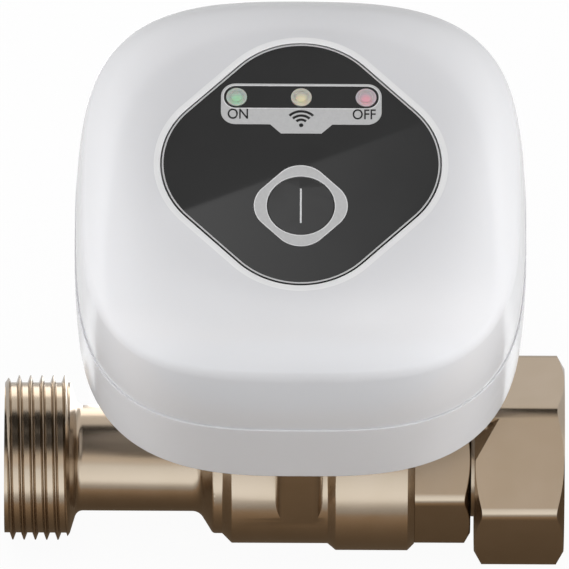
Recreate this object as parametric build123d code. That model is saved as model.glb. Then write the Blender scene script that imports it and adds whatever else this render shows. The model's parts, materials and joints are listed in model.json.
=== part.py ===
from build123d import *

import math
import os

# A motorised ball valve for a water pipe. The pipe runs along X, the stem and its drive stand up along Z,
# and the origin is the centre of the ball. The inlet thread is at -X and the loose union nut at +X.
# All lengths are millimetres. Names that end in _share are fractions of the size that they follow.

# General fits and edges
running_clearance = 0.05
sliding_clearance = 0.08
seat_gap = 0.05
face_gap = 0.15
touch_gap = 0.3
cut_overrun = 1.0

# Ball, seats and waterway
waterway_radius = 6.25
ball_radius = 9.5
chamber_clearance = 0.7
seat_setback = 0.1
seat_side_clearance = 0.05
ball_slot_width = 4.0
ball_slot_floor = 7.0

# Valve body along the pipe
inlet_reach = 47.25
neck_wall = 2.22
barrel_wall = 3.33
collar_drop = 1.53
collar_length = 1.5
inlet_end_wall = 1.37
flare_angle = 58
flare_foot_fillet = 2.0
flare_top_fillet = 1.5
neck_shoulder_fillet = 1.3
neck_shoulder_length = 1.1
barrel_edge_fillet = 0.3
step_setback = 4.8
step_length = 1.3
spigot_step = 1.3
spigot_length = 9.1
outlet_barrel_wall = 3.05
outlet_barrel_chamfer = 1.1

# Pipe thread, the same on the inlet and in the union nut
thread_radius = 13.22
thread_pitch = 1.814
thread_depth = 1.16
thread_flank_angle = 22
crest_flat_share = 0.12
thread_ridges = 6
first_ridge_offset = 0.75
last_ridge_runout = 0.68

# Stem tower and flange of the body
tower_thickness = 7.6
tower_depth = 26.6
tower_corner = 1.7
stem_neck_radius = 7.5
flange_base = 22.0
flange_thickness = 4.0
flange_width = 28.0
flange_corner = 3.0
flange_screw_margin = 3.8
flange_gasket_thickness = 0.8

# Stem
stem_radius = 4.0
stem_shoulder_radius = 5.0
stem_shoulder_height = 1.4
stem_tang_length = 8.0
thrust_washer_thickness = 0.6
ring_section_radius = 0.53
ring_groove_slack = 0.2
stem_ring_spacing = 4.0
stem_square = 5.0
stem_square_height = 6.0
cap_ring_share = 0.35
cap_ring_section = 0.8

# End cap, union nut and what holds it
cap_hexagon = 23.8
cap_hexagon_corner = 2.4
cap_hexagon_length = 9.0
tail_radius = 9.1
tail_length = 4.5
snap_groove_setback = 2.0
snap_groove_width = 1.0
snap_groove_depth = 0.8
snap_ring_reach = 1.2
snap_ring_split = 3.0
nut_hexagon = 29.7
nut_hexagon_corner = 2.4
nut_end_float = 0.6
nut_thread_length = 8.2
nut_relief_slack = 0.08
nut_mouth_chamfer = 0.55
hexagon_chamfer_angle = 30
hexagon_face_drop = 0.2
gasket_thickness = 1.6
gasket_thread_clearance = 0.16
gasket_bore_clearance = 0.25
nut_turn = 2.0
seal_notch_length = 3.9
seal_notch_low = 0.15
seal_notch_middle = 5.3
seal_notch_tip = 7.1
seal_notch_high = 7.3
seal_notch_depth = 2.5
seal_notch_overrun = 1.5
seal_hole_x = 1.7
seal_hole_depth = 0.95
seal_hole_radius = 0.55

# Housing
housing_floor_level = 54.9
seam_level = 70.25
lip_level = 84.6
rim_level = 92.6
seam_half_width = 35.72
lip_taper = 1.15
bottom_taper = 0.42
bottom_power = 2.95
seam_power = 3.1
lip_power = 3.2
wall = 2.0
floor_thickness = 2.4
bottom_edge_round = 0.7
seam_groove = 0.4
tongue_height = 1.6
tongue_share = 0.5
housing_gasket_height = 0.8
outline_points = 32
dome_first_share = 0.16
dome_second_share = 0.36
dome_fourth_share = 0.48
dome_shares = [1.0, 0.86, 0.68, 0.46, 0.22, 0.0]
diamond_turn = 45

# Pedestal between the body's flange and the housing
pedestal_foot_width = 30.0
pedestal_top_width = 44.0
pedestal_corner = 5.0
pedestal_wall = 2.4
flange_boss_radius = 3.0
flange_boss_height = 16.0

# Front panel
panel_half_side = 19.54
panel_corner = 13.7
panel_thickness = 2.0
panel_gap = 0.2
land_width = 1.25
ledge_thickness = 2.0
legend_half_width = 12.66
legend_low = 7.21
legend_high = 14.66
legend_corner = 2.3
legend_thickness = 0.25
tab_low = 5.55
tab_wide = 4.9
tab_narrow = 3.2
window_half_width = 12.2
window_low = 10.2
window_high = 14.22
window_corner = 1.9
lamp_spacing = 10.2
lamp_level = 12.19
lens_radius = 1.64
lens_clearance = 0.06
lens_depth = 1.4
lens_proud = 0.15
button_y = -7.69
button_radius = 5.27
button_clearance = 0.08
button_flange_width = 0.75
button_flange_thickness = 0.6
button_travel = 0.4
ring_half_side = 6.56
ring_corner = 4.54
ring_thickness = 0.3
mark_length = 6.3
mark_width = 0.37
mark_depth = 0.2

# Main board and what it carries
board_width = 44.0
board_corner = 5.0
board_thickness = 1.6
board_gap = 1.0
board_screw_margin = 3.5
led_radius = 1.45
switch_width = 5.2
switch_height = 1.6
plunger_radius = 1.5
plunger_depth = 1.2
module_length = 16.0
module_width = 12.0
module_height = 0.8
module_can_height = 1.0
module_can_side_margin = 1.0
module_can_end_margin = 2.0
module_corner = 0.8
part_corner = 0.4
module_x = 9.0
module_y = -2.0
relay_length = 11.0
relay_width = 8.0
relay_height = 2.6
capacitor_radius = 2.5
part_place = 12.0

# Fasteners
screw_radius = 1.45
screw_head_radius = 2.6
screw_head_height = 2.2
screw_hole_slack = 0.25
small_screw_radius = 1.1
small_head_radius = 2.0
small_head_height = 1.4
screw_bite = 5.0
case_screw_share = 0.756
case_boss_radius = 3.0
case_head_recess = 3.2
screw_slot_width = 0.7
screw_slot_depth = 0.7

# Gear train
output_teeth = 48
idler_pinion_teeth = 12
idler_wheel_teeth = 40
motor_teeth = 12
idler_distance_share = 0.712
idler_angle = 135
motor_shaft_gap = 0.6
pressure_angle = 20
addendum_share = 0.8
dedendum_share = 1.05
tooth_backlash = 0.12
flank_steps = 3
gear_hub_drop = 1.4
gear_web_hole_share = 0.42
gear_thickness = 4.0
wheel_thickness = 3.0
gear_layer_gap = 1.0
wheel_wall_clearance = 1.2
hub_radius = 3.2
axle_radius = 1.5
axle_boss_radius = 3.6
motor_wall_clearance = 1.9
motor_shaft_radius = 1.0
motor_top_room = 1.4
motor_edge_round = 0.35
output_shaft_radius = 5.0
bush_wall = 2.0
bush_flange_width = 1.5
bush_flange_thickness = 1.0
plate_thickness = 1.6
plate_gap = 0.8
plate_rim = 3.2
column_radius = 2.6
column_distance_share = 0.78
column_angles = [213, 272, 335, 62]
cam_radius = 6.0
cam_lobe_radius = 8.5
cam_lobe_angle = 50
cam_thickness = 2.6
limit_switch_length = 11.0
limit_switch_depth = 5.5
limit_switch_angle = 45
limit_plunger_radius = 0.8
limit_plunger_length = 1.4

# Power inlet in the rear wall
jack_x = 1.0
jack_width = 9.0
jack_height = 8.0
jack_depth = 11.0
jack_hole_radius = 3.0
jack_pin_radius = 0.9
jack_pin_length = 8.0

# Places that follow from the sizes above
lip_half_width = seam_half_width - lip_taper
bottom_half_width = seam_half_width - bottom_taper
chamber_radius = ball_radius + chamber_clearance
seat_back = ball_radius - seat_setback
seat_front = stem_shoulder_radius + running_clearance + face_gap
barrel_radius = chamber_radius + barrel_wall
collar_radius = barrel_radius - collar_drop
neck_radius = waterway_radius + neck_wall
spigot_radius = chamber_radius + spigot_step
spigot_bore_radius = spigot_radius + running_clearance
outlet_barrel_radius = spigot_bore_radius + outlet_barrel_wall
body_end = seat_back + spigot_length
thread_root_radius = thread_radius - thread_depth
ridge_foot = thread_depth * math.tan(math.radians(thread_flank_angle))
crest_flat = crest_flat_share * thread_pitch
last_ridge_x = first_ridge_offset + (thread_ridges - 1) * thread_pitch - inlet_reach
thread_end_x = last_ridge_x + last_ridge_runout

flange_top = flange_base + flange_thickness
flange_screw_offset = flange_width / 2 - flange_screw_margin
pedestal_foot = flange_top + flange_gasket_thickness
stem_bore_radius = stem_radius + running_clearance
shoulder_base = ball_radius + face_gap
shoulder_top = shoulder_base + stem_shoulder_height
washer_base = shoulder_top + running_clearance
pocket_top = washer_base + thrust_washer_thickness
stem_square_base = flange_top + cut_overrun
stem_top = stem_square_base + stem_square_height

cap_hexagon_end = body_end + cap_hexagon_length
tail_end = cap_hexagon_end + tail_length
snap_groove_start = tail_end - snap_groove_setback
snap_groove_floor = tail_radius - snap_groove_depth
nut_start = cap_hexagon_end + nut_end_float
nut_collar_end = snap_groove_start - face_gap
nut_bore_radius = tail_radius + sliding_clearance
nut_relief_radius = thread_radius + nut_relief_slack
gasket_end = tail_end + gasket_thickness
nut_thread_start = gasket_end + face_gap
nut_thread_end = nut_thread_start + nut_thread_length
nut_end = nut_thread_end + nut_mouth_chamfer

floor_top = housing_floor_level + floor_thickness
panel_base = rim_level - panel_thickness
ledge_base = panel_base - ledge_thickness
board_top = ledge_base - board_gap
board_base = board_top - board_thickness
board_screw_offset = board_width / 2 - board_screw_margin
base_wall_top = seam_level - seam_groove / 2
cover_wall_base = seam_level + seam_groove / 2
tongue_top = base_wall_top + tongue_height
gasket_top = tongue_top + housing_gasket_height
button_top = rim_level
button_flange_top = panel_base - face_gap
plunger_top = button_flange_top - button_flange_thickness
switch_top = board_top + switch_height
room_half_width = seam_half_width - wall
room_corner = room_half_width * 2 ** (1 / 2 - 1 / seam_power)
case_screw_place = case_screw_share * room_half_width

idler_distance = idler_distance_share * room_half_width
output_module = 2 * idler_distance / (output_teeth + idler_pinion_teeth)
output_tip_radius = output_module * (output_teeth / 2 + addendum_share)
idler_reach = room_corner - idler_distance - wheel_wall_clearance
input_module = idler_reach / (idler_wheel_teeth / 2 + addendum_share)
motor_mesh = input_module * (idler_wheel_teeth + motor_teeth) / 2
motor_distance = output_tip_radius + motor_shaft_radius + motor_shaft_gap
motor_swing = math.degrees(math.acos(
    (idler_distance ** 2 + motor_distance ** 2 - motor_mesh ** 2) / (2 * idler_distance * motor_distance)))
motor_angle = idler_angle + motor_swing
motor_radius = room_half_width - motor_distance - motor_wall_clearance
idler_x = idler_distance * math.cos(math.radians(idler_angle))
idler_y = idler_distance * math.sin(math.radians(idler_angle))
motor_x = motor_distance * math.cos(math.radians(motor_angle))
motor_y = motor_distance * math.sin(math.radians(motor_angle))

plate_top = board_base - capacitor_radius - cut_overrun - touch_gap
plate_base = plate_top - plate_thickness
wheel_top = plate_base - plate_gap
wheel_base = wheel_top - wheel_thickness
output_gear_top = wheel_base - gear_layer_gap
output_gear_base = output_gear_top - gear_thickness
motor_body_top = output_gear_base - touch_gap - motor_top_room
column_distance = column_distance_share * room_half_width
bush_radius = output_shaft_radius + bush_wall
shaft_top = plate_top + bush_flange_thickness
cam_base = output_gear_top + touch_gap
case_boss_base = gasket_top + touch_gap
case_boss_top = wheel_base - touch_gap


def block(x, y, z):
    """A box from three pairs of low and high sides."""
    size = [pair[1] - pair[0] for pair in (x, y, z)]
    return Pos(x[0], y[0], z[0]) * Box(*size, align=(Align.MIN, Align.MIN, Align.MIN))


def post(radius, z, x=0, y=0):
    """An upright cylinder between two heights."""
    stand = (Align.CENTER, Align.CENTER, Align.MIN)
    return Pos(x, y, z[0]) * Cylinder(radius, z[1] - z[0], align=stand)


def rod(radius, x):
    """A cylinder along the pipe axis."""
    stand = (Align.CENTER, Align.CENTER, Align.MIN)
    return Pos(x[0], 0, 0) * Rot(0, 90, 0) * Cylinder(radius, x[1] - x[0], align=stand)


def tube(outer, inner, x):
    """A ring along the pipe axis."""
    return rod(outer, x) - rod(inner, (x[0] - cut_overrun, x[1] + cut_overrun))


def turned(points, radii=None, axis=Axis.X):
    """A solid turned from an outline in the XZ plane, with a rounding for each corner if given."""
    if radii is None:
        outline = Polyline(*points, close=True)
    else:
        outline = FilletPolyline(*points, radius=radii, close=True)
    return revolve(Plane.XZ * make_face(outline), axis)


def slab(width, depth, corner, z, x=0, y=0):
    """A plate with rounded upright edges."""
    return extrude(Pos(x, y, z[0]) * RectangleRounded(width, depth, corner), z[1] - z[0])


def squircle_radius(angle, half, power):
    """Distance from the middle to a superellipse outline."""
    total = abs(math.cos(angle)) ** power + abs(math.sin(angle)) ** power
    return half / total ** (1 / power)


def diamond_radius(angle, half, corner):
    """Distance from the middle to a rounded square that stands on its corner."""
    turn = (angle + math.pi / 4) % (math.pi / 2)
    turn = min(turn, math.pi / 2 - turn)
    if half * math.tan(turn) <= half - corner:
        return half / math.cos(turn)
    along = (half - corner) * (math.cos(turn) + math.sin(turn))
    return along + math.sqrt(along ** 2 - 2 * (half - corner) ** 2 + corner ** 2)


def ring_wire(radius_at, height):
    """A smooth closed outline at one height from its distance at each angle."""
    steps = [2 * math.pi * k / outline_points for k in range(outline_points)]
    points = [(radius_at(a) * math.cos(a), radius_at(a) * math.sin(a), height) for a in steps]
    return Wire([Spline(*points, periodic=True).edge()])


def half_width_at(height):
    """Half width of the housing: widest at the seam, a gentle curve to the lip and to the bottom."""
    if height >= seam_level:
        share = (height - seam_level) / (lip_level - seam_level)
        return seam_half_width - (seam_half_width - lip_half_width) * share ** 2
    share = (seam_level - height) / (seam_level - housing_floor_level)
    return seam_half_width - (seam_half_width - bottom_half_width) * share ** 2


def power_at(height):
    """How square the housing's outline is at a height."""
    if height >= seam_level:
        share = (height - seam_level) / (lip_level - seam_level)
        return seam_power + (lip_power - seam_power) * share
    share = (seam_level - height) / (seam_level - housing_floor_level)
    return seam_power + (bottom_power - seam_power) * share


def wall_wire(height, inset=0.0, follow=None):
    """The housing's outline at a height, moved in by an inset."""
    level = height if follow is None else follow
    half = half_width_at(level) - inset
    return ring_wire(lambda angle: squircle_radius(angle, half, power_at(level)), height)


def wall_solid(low, high, inset=0.0, sections=3):
    """A solid that fills the housing's outline between two heights."""
    levels = [low + (high - low) * k / (sections - 1) for k in range(sections)]
    return Part(Solid.make_loft([wall_wire(level, inset) for level in levels]).wrapped)


def dome_drop(share):
    """How far the dome has fallen below its rim, as a share of its height: slow first, then steep."""
    return dome_first_share * share + dome_second_share * share ** 2 + dome_fourth_share * share ** 4


def dome_steepness(share):
    """How steeply the dome falls at a share of its width."""
    return dome_first_share + 2 * dome_second_share * share + 4 * dome_fourth_share * share ** 3


def dome_wire(share, inset):
    """One outline of the dome, between the panel's diamond and the lip, moved in square to the surface."""
    height = rim_level - lip_level
    reach = lip_half_width - panel_half_side - land_width
    slope = math.atan2(height * dome_steepness(share), reach)
    level = rim_level - height * dome_drop(share) - inset * math.cos(slope)

    def radius_at(angle):
        inner = diamond_radius(angle, panel_half_side + land_width, panel_corner + land_width)
        outer = squircle_radius(angle, lip_half_width, lip_power)
        return inner + (outer - inner) * share - inset * math.sin(slope)

    return ring_wire(radius_at, level)


def dome_solid(inset=0.0):
    """The dome as a solid, or the room under it when moved in by the wall."""
    return Part(Solid.make_loft([dome_wire(share, inset) for share in dome_shares]).wrapped)


def diamond_plate(half, corner, z):
    """A rounded square standing on its corner."""
    face = Rot(0, 0, diamond_turn) * RectangleRounded(2 * half, 2 * half, corner)
    return extrude(Pos(0, 0, z[0]) * face, z[1] - z[0])


def at_corners(offset):
    """Four places on a square pattern."""
    return [(sx * offset, sy * offset) for sx in (-1, 1) for sy in (-1, 1)]


def screw(radius, head_radius, head_height, z_head, z_tip, x, y):
    """A slotted screw, with its head at one height and its tip at another."""
    up = 1 if z_tip > z_head else -1
    seat = z_head + up * head_height
    head = post(head_radius, sorted((z_head, seat)), x, y)
    shank = post(radius, sorted((seat, z_tip)), x, y)
    deep = z_head + up * screw_slot_depth
    slot = block((x - head_radius, x + head_radius), (y - screw_slot_width / 2, y + screw_slot_width / 2),
                 sorted((z_head, deep)))
    return head + shank - slot


def hexagon(across_flats, corner, x, chamfer_low, chamfer_high):
    """A hexagon bar along the pipe with a corner at the top, its ends turned to a cone."""
    reach = across_flats / math.sqrt(3)
    points = [(reach * math.sin(math.pi * k / 3), reach * math.cos(math.pi * k / 3)) for k in range(6)]
    face = make_face(FilletPolyline(*points, radius=corner, close=True))
    bar = extrude(Plane.YZ.offset(x[0]) * face, x[1] - x[0])
    end_radius = across_flats / 2 - hexagon_face_drop
    cone = (reach - end_radius) * math.tan(math.radians(hexagon_chamfer_angle))
    low = end_radius if chamfer_low else reach
    high = end_radius if chamfer_high else reach
    shape = [(x[0], 0), (x[0], low), (x[0] + cone, reach), (x[1] - cone, reach), (x[1], high), (x[1], 0)]
    return bar & turned(shape)


def inlet_thread():
    """Annular ridges of the inlet thread, with both ends chamfered."""
    start = -inlet_reach
    points = [(start, 0), (start, thread_root_radius)]
    for k in range(thread_ridges):
        middle = start + first_ridge_offset + k * thread_pitch
        if k > 0:
            points.append((middle - crest_flat / 2 - ridge_foot, thread_root_radius))
        points.append((middle - crest_flat / 2, thread_radius))
        points.append((middle + crest_flat / 2, thread_radius))
        if k < thread_ridges - 1:
            points.append((middle + crest_flat / 2 + ridge_foot, thread_root_radius))
    points.append((thread_end_x, thread_root_radius))
    points.append((thread_end_x, 0))
    return turned(points)


def nut_thread_room():
    """What the female thread cuts out of the union nut."""
    count = int(nut_thread_length / thread_pitch)
    points = [(nut_thread_start - face_gap, 0), (nut_thread_start - face_gap, thread_root_radius)]
    for k in range(count):
        middle = nut_thread_start + (k + 1 / 2) * thread_pitch
        points.append((middle - crest_flat / 2 - ridge_foot, thread_root_radius))
        points.append((middle - crest_flat / 2, thread_radius))
        points.append((middle + crest_flat / 2, thread_radius))
        points.append((middle + crest_flat / 2 + ridge_foot, thread_root_radius))
    points.append((nut_thread_end, thread_root_radius))
    points.append((nut_end, thread_root_radius + nut_mouth_chamfer))
    points.append((nut_end + cut_overrun, thread_root_radius + nut_mouth_chamfer))
    points.append((nut_end + cut_overrun, 0))
    return turned(points)


def body_outside():
    """Neck, flare, barrel and outlet barrel of the body as one turned outline."""
    cone = barrel_radius - collar_radius
    cone_end = -(seat_back + inlet_end_wall)
    collar_end = cone_end - cone - collar_length
    flare = (collar_radius - neck_radius) / math.tan(math.radians(flare_angle))
    step = seat_back - step_setback
    points = [
        (thread_end_x, 0), (thread_end_x, thread_root_radius),
        (thread_end_x + neck_shoulder_length, neck_radius), (collar_end - flare, neck_radius),
        (collar_end, collar_radius), (cone_end - cone, collar_radius), (cone_end, barrel_radius),
        (step, barrel_radius), (step + step_length, outlet_barrel_radius),
        (body_end - outlet_barrel_chamfer, outlet_barrel_radius),
        (body_end, outlet_barrel_radius - outlet_barrel_chamfer), (body_end, 0)]
    edge = barrel_edge_fillet
    radii = [0, 0, neck_shoulder_fillet, flare_foot_fillet, flare_top_fillet / 2, edge, edge,
             edge, edge, 0, 0, 0]
    return turned(points, radii)


def valve_body():
    """Forged body: threaded inlet, neck, barrel, stem tower and flange in one piece."""
    body = inlet_thread() + body_outside()
    body += slab(tower_thickness, tower_depth, tower_corner, (0, flange_base + cut_overrun))
    body += post(stem_neck_radius, (0, flange_base + cut_overrun))
    body += slab(flange_width, flange_width, flange_corner, (flange_base, flange_top))
    body -= rod(waterway_radius, (-inlet_reach - cut_overrun, 0))
    body -= rod(chamber_radius, (-seat_back, seat_back))
    body -= rod(spigot_bore_radius, (seat_back - running_clearance, body_end + cut_overrun))
    body -= post(stem_shoulder_radius + running_clearance, (0, pocket_top))
    body -= post(stem_bore_radius, (0, flange_top + cut_overrun))
    for x, y in at_corners(flange_screw_offset):
        through = (flange_base - cut_overrun, flange_top + cut_overrun)
        body -= post(screw_radius + screw_hole_slack, through, x, y)
    return body


def ball():
    sphere = Sphere(ball_radius)
    sphere -= rod(waterway_radius, (-2 * ball_radius, 2 * ball_radius))
    half = ball_slot_width / 2
    return sphere - block((-half, half), (-ball_radius, ball_radius), (ball_slot_floor, 2 * ball_radius))


def seat_ring(turn):
    """Seat between the ball and the end of its chamber, made at the inlet and turned to its end."""
    ring = tube(chamber_radius - seat_side_clearance, waterway_radius, (-seat_back, -seat_front))
    return Rot(0, 0, turn) * (ring - Sphere(ball_radius + seat_gap))


def stem_ring_levels():
    middle = (pocket_top + flange_top) / 2
    return [middle - stem_ring_spacing / 2, middle + stem_ring_spacing / 2]


def stem():
    """Turned stem with its tang in the ball, a shoulder that holds it in, two grooves and a square."""
    tang_width = ball_slot_width - 2 * sliding_clearance
    half = stem_tang_length / 2
    piece = block((-tang_width / 2, tang_width / 2), (-half, half),
                  (ball_slot_floor + face_gap, shoulder_base + running_clearance))
    piece += post(stem_shoulder_radius, (shoulder_base, shoulder_top))
    piece += post(stem_radius, (shoulder_top, stem_square_base))
    side = stem_square / 2
    piece += block((-side, side), (-side, side), (stem_square_base, stem_top))
    for level in stem_ring_levels():
        half_groove = ring_section_radius + ring_groove_slack / 2
        groove = post(2 * stem_radius, (level - half_groove, level + half_groove))
        piece -= groove - post(stem_radius - 2 * ring_section_radius, (shoulder_top, stem_square_base))
    return piece


def stem_orings():
    centre = stem_radius - ring_section_radius
    return [Pos(0, 0, level) * Torus(centre, ring_section_radius) for level in stem_ring_levels()]


def stem_thrust_washer():
    ring = post(stem_shoulder_radius, (washer_base, pocket_top))
    return ring - post(stem_radius + sliding_clearance, (washer_base - cut_overrun, pocket_top + cut_overrun))


def cap_ring_x():
    return seat_back + cap_ring_share * spigot_length


def end_cap():
    """Screwed-in end of the body: spigot, hexagon and the tailpiece that carries the union nut."""
    cap = rod(spigot_radius, (seat_back, body_end + cut_overrun))
    cap += hexagon(cap_hexagon, cap_hexagon_corner, (body_end, cap_hexagon_end), False, True)
    cap += rod(tail_radius, (cap_hexagon_end - cut_overrun, tail_end))
    half = cap_ring_section + ring_groove_slack / 2
    middle = cap_ring_x()
    cap -= tube(2 * spigot_radius, spigot_radius - 2 * cap_ring_section, (middle - half, middle + half))
    cap -= tube(2 * tail_radius, snap_groove_floor, (snap_groove_start, snap_groove_start + snap_groove_width))
    return cap - rod(waterway_radius, (0, tail_end + cut_overrun))


def end_cap_oring():
    centre = spigot_radius - cap_ring_section
    return Pos(cap_ring_x(), 0, 0) * Rot(0, 90, 0) * Torus(centre, cap_ring_section)


def on_front_face(along, up, depth):
    """A place on the nut's front face, from its left end, its middle line and its surface."""
    tilt = math.pi / 6
    out = nut_hexagon / 2 - depth
    return Vector(nut_start + along, up * math.cos(tilt) - out * math.sin(tilt),
                  up * math.sin(tilt) + out * math.cos(tilt))


def seal_notch():
    """A slanted V groove in the nut's front face, at its left end, for a lead seal."""
    deep = on_front_face(0, seal_notch_middle, seal_notch_depth)
    low = on_front_face(0, seal_notch_low, 0)
    high = on_front_face(0, seal_notch_high, 0)
    valley = on_front_face(seal_notch_length, seal_notch_tip, 0) - deep
    start = deep - valley
    reach = [(side - deep) * seal_notch_overrun for side in (low, high)]
    corners = [start, start + reach[0], start + reach[1]]
    return Part(Solid.extrude(Face(Wire.make_polygon(corners)), valley * 3).wrapped)


def seal_hole():
    """The seal wire's hole, from the groove out through the top edge."""
    place = on_front_face(seal_hole_x, seal_notch_middle, seal_hole_depth)
    along = on_front_face(seal_hole_x, seal_notch_high, seal_hole_depth) - place
    stand = (Align.CENTER, Align.CENTER, Align.MIN)
    return Plane(origin=place, z_dir=along) * Cylinder(seal_hole_radius, nut_hexagon / 2, align=stand)


def union_nut():
    """Loose hexagon nut with a collar behind the snap ring and a notch for a lead seal."""
    nut = hexagon(nut_hexagon, nut_hexagon_corner, (nut_start, nut_end), True, True)
    nut -= rod(nut_bore_radius, (nut_start - cut_overrun, nut_end))
    nut -= rod(nut_relief_radius, (nut_collar_end, nut_thread_start))
    nut -= nut_thread_room()
    return Rot(nut_turn, 0, 0) * (nut - seal_notch() - seal_hole())


def nut_snap_ring():
    start = snap_groove_start + running_clearance
    end = snap_groove_start + snap_groove_width - running_clearance
    ring = tube(tail_radius + snap_ring_reach, snap_groove_floor, (start, end))
    half = snap_ring_split / 2
    return ring - block((start - cut_overrun, end + cut_overrun), (-half, half), (-2 * tail_radius, 0))


def union_gasket():
    outer = thread_root_radius - gasket_thread_clearance
    return tube(outer, waterway_radius + gasket_bore_clearance, (tail_end, gasket_end))


def flange_gasket():
    plate = slab(flange_width, flange_width, flange_corner, (flange_top, pedestal_foot))
    plate -= post(stem_neck_radius, (flange_base, pedestal_foot + cut_overrun))
    for x, y in at_corners(flange_screw_offset):
        plate -= post(screw_radius + screw_hole_slack, (flange_base, pedestal_foot + cut_overrun), x, y)
    return plate


def flange_screws():
    head = flange_base - screw_head_height
    tip = pedestal_foot + flange_boss_height - screw_bite
    return [screw(screw_radius, screw_head_radius, screw_head_height, head, tip, x, y)
            for x, y in at_corners(flange_screw_offset)]


def pedestal(inset, low, high):
    """A tapered square column, or the room inside it."""
    def width_at(level):
        share = (level - pedestal_foot) / (housing_floor_level - pedestal_foot)
        return pedestal_foot_width + (pedestal_top_width - pedestal_foot_width) * share - 2 * inset

    faces = [Pos(0, 0, level) * RectangleRounded(width_at(level), width_at(level), pedestal_corner - inset)
             for level in (low, high)]
    return loft(faces)


def base_wires():
    """Outlines of the base with its bottom edge rounded."""
    turn = bottom_edge_round
    low = housing_floor_level
    bend = turn * (1 - math.sqrt(1 / 2))
    edge = [(0, turn), (bend, bend), (turn, 0)]
    return [wall_wire(low + rise, inset) for rise, inset in edge]


def column_places():
    """Where the four columns of the gearbox plate stand."""
    return [(column_distance * math.cos(math.radians(a)), column_distance * math.sin(math.radians(a)))
            for a in column_angles]


def base_posts():
    """Screw columns, plate columns and the axle boss that stand on the tray's floor."""
    low = floor_top - cut_overrun
    posts = [post(case_boss_radius, (low, tongue_top), x, y) for x, y in at_corners(case_screw_place)]
    posts += [post(column_radius, (low, plate_base), x, y) for x, y in column_places()]
    posts.append(post(axle_boss_radius, (low, motor_body_top), idler_x, idler_y))
    return posts


def base_holes():
    """Screw holes, the lower bush's hole and the power inlet's hole in the rear wall."""
    holes = []
    for x, y in at_corners(flange_screw_offset):
        bore = (pedestal_foot - cut_overrun, pedestal_foot + flange_boss_height)
        holes.append(post(screw_radius, bore, x, y))
    for x, y in at_corners(case_screw_place):
        recess = (housing_floor_level - cut_overrun, housing_floor_level + case_head_recess)
        holes.append(post(screw_head_radius + screw_hole_slack, recess, x, y))
        bore = (housing_floor_level, tongue_top + cut_overrun)
        holes.append(post(screw_radius + screw_hole_slack, bore, x, y))
    for x, y in column_places():
        holes.append(post(small_screw_radius, (plate_base - screw_bite, plate_base + cut_overrun), x, y))
    axle_hole = (motor_body_top - screw_bite, motor_body_top + cut_overrun)
    holes.append(post(axle_radius, axle_hole, idler_x, idler_y))
    holes.append(post(bush_radius, (housing_floor_level - cut_overrun, floor_top + cut_overrun)))
    through = Pos(jack_x, room_half_width, floor_top + jack_height / 2) * Rot(90, 0, 0)
    holes.append(through * Cylinder(jack_hole_radius + 2 * bottom_edge_round, 4 * wall))
    return holes


def pedestal_room():
    """Hollow of the pedestal, around the four bosses of the flange screws."""
    room = pedestal(pedestal_wall, pedestal_foot - cut_overrun, housing_floor_level)
    high = housing_floor_level + cut_overrun
    return room - [post(flange_boss_radius, (pedestal_foot - 2 * cut_overrun, high), x, y)
                   for x, y in at_corners(flange_screw_offset)]


def base_shell():
    """Tray and hollow pedestal, with its columns, bosses and tongue."""
    foot = Part(Solid.make_loft(base_wires(), ruled=True).wrapped)
    tray = wall_solid(housing_floor_level + bottom_edge_round, base_wall_top)
    tongue = wall_solid(base_wall_top, tongue_top, wall * tongue_share + running_clearance)
    shell = foot + tray + tongue - wall_solid(floor_top, tongue_top + cut_overrun, wall)
    shell += [pedestal(0, pedestal_foot, housing_floor_level + cut_overrun)] + base_posts()
    return shell - ([pedestal_room()] + base_holes())


def cover_room():
    """Room under the cover, around the panel's ledge and the screw bosses."""
    room = wall_solid(gasket_top, lip_level, wall) + dome_solid(wall)
    room += wall_solid(cover_wall_base - cut_overrun, gasket_top, wall * tongue_share)
    solid = [diamond_plate(panel_half_side + land_width, panel_corner + land_width, (ledge_base, rim_level))]
    for x, y in at_corners(board_screw_offset):
        solid.append(post(small_head_radius + small_screw_radius / 2, (board_top, rim_level), x, y))
    for x, y in at_corners(case_screw_place):
        solid.append(post(case_boss_radius, (case_boss_base, case_boss_top), x, y))
    return room - solid


def cover_holes():
    """The panel's pocket, the lamps' and button's openings and the screw holes."""
    over = rim_level + wall
    holes = [diamond_plate(panel_half_side + panel_gap, panel_corner + panel_gap, (panel_base, over))]
    for x, y in at_corners(board_screw_offset):
        holes.append(post(small_screw_radius, (board_base, ledge_base + wall), x, y))
    for x, y in at_corners(case_screw_place):
        holes.append(post(screw_radius, (cover_wall_base, case_boss_top - face_gap), x, y))
    for x in (-lamp_spacing, 0, lamp_spacing):
        holes.append(post(lens_radius + panel_gap, (board_top, over), x, lamp_level))
    opening = button_radius + button_flange_width + 2 * panel_gap
    holes.append(post(opening, (board_top, over), 0, button_y))
    return holes


def top_cover():
    """Domed shell with the panel's pocket, board bosses and screw bosses inside."""
    outside = wall_solid(cover_wall_base, lip_level) + dome_solid()
    return outside - cover_room() - cover_holes()


def housing_gasket():
    """Square cord between the base's tongue and the cover."""
    ring = wall_solid(tongue_top, gasket_top, wall * tongue_share + running_clearance)
    return ring - wall_solid(tongue_top - cut_overrun, gasket_top + cut_overrun, wall)


def case_screws():
    head = housing_floor_level + case_head_recess - screw_head_height
    tip = case_boss_top - touch_gap
    return [screw(screw_radius, screw_head_radius, screw_head_height, head, tip, x, y)
            for x, y in at_corners(case_screw_place)]


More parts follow.
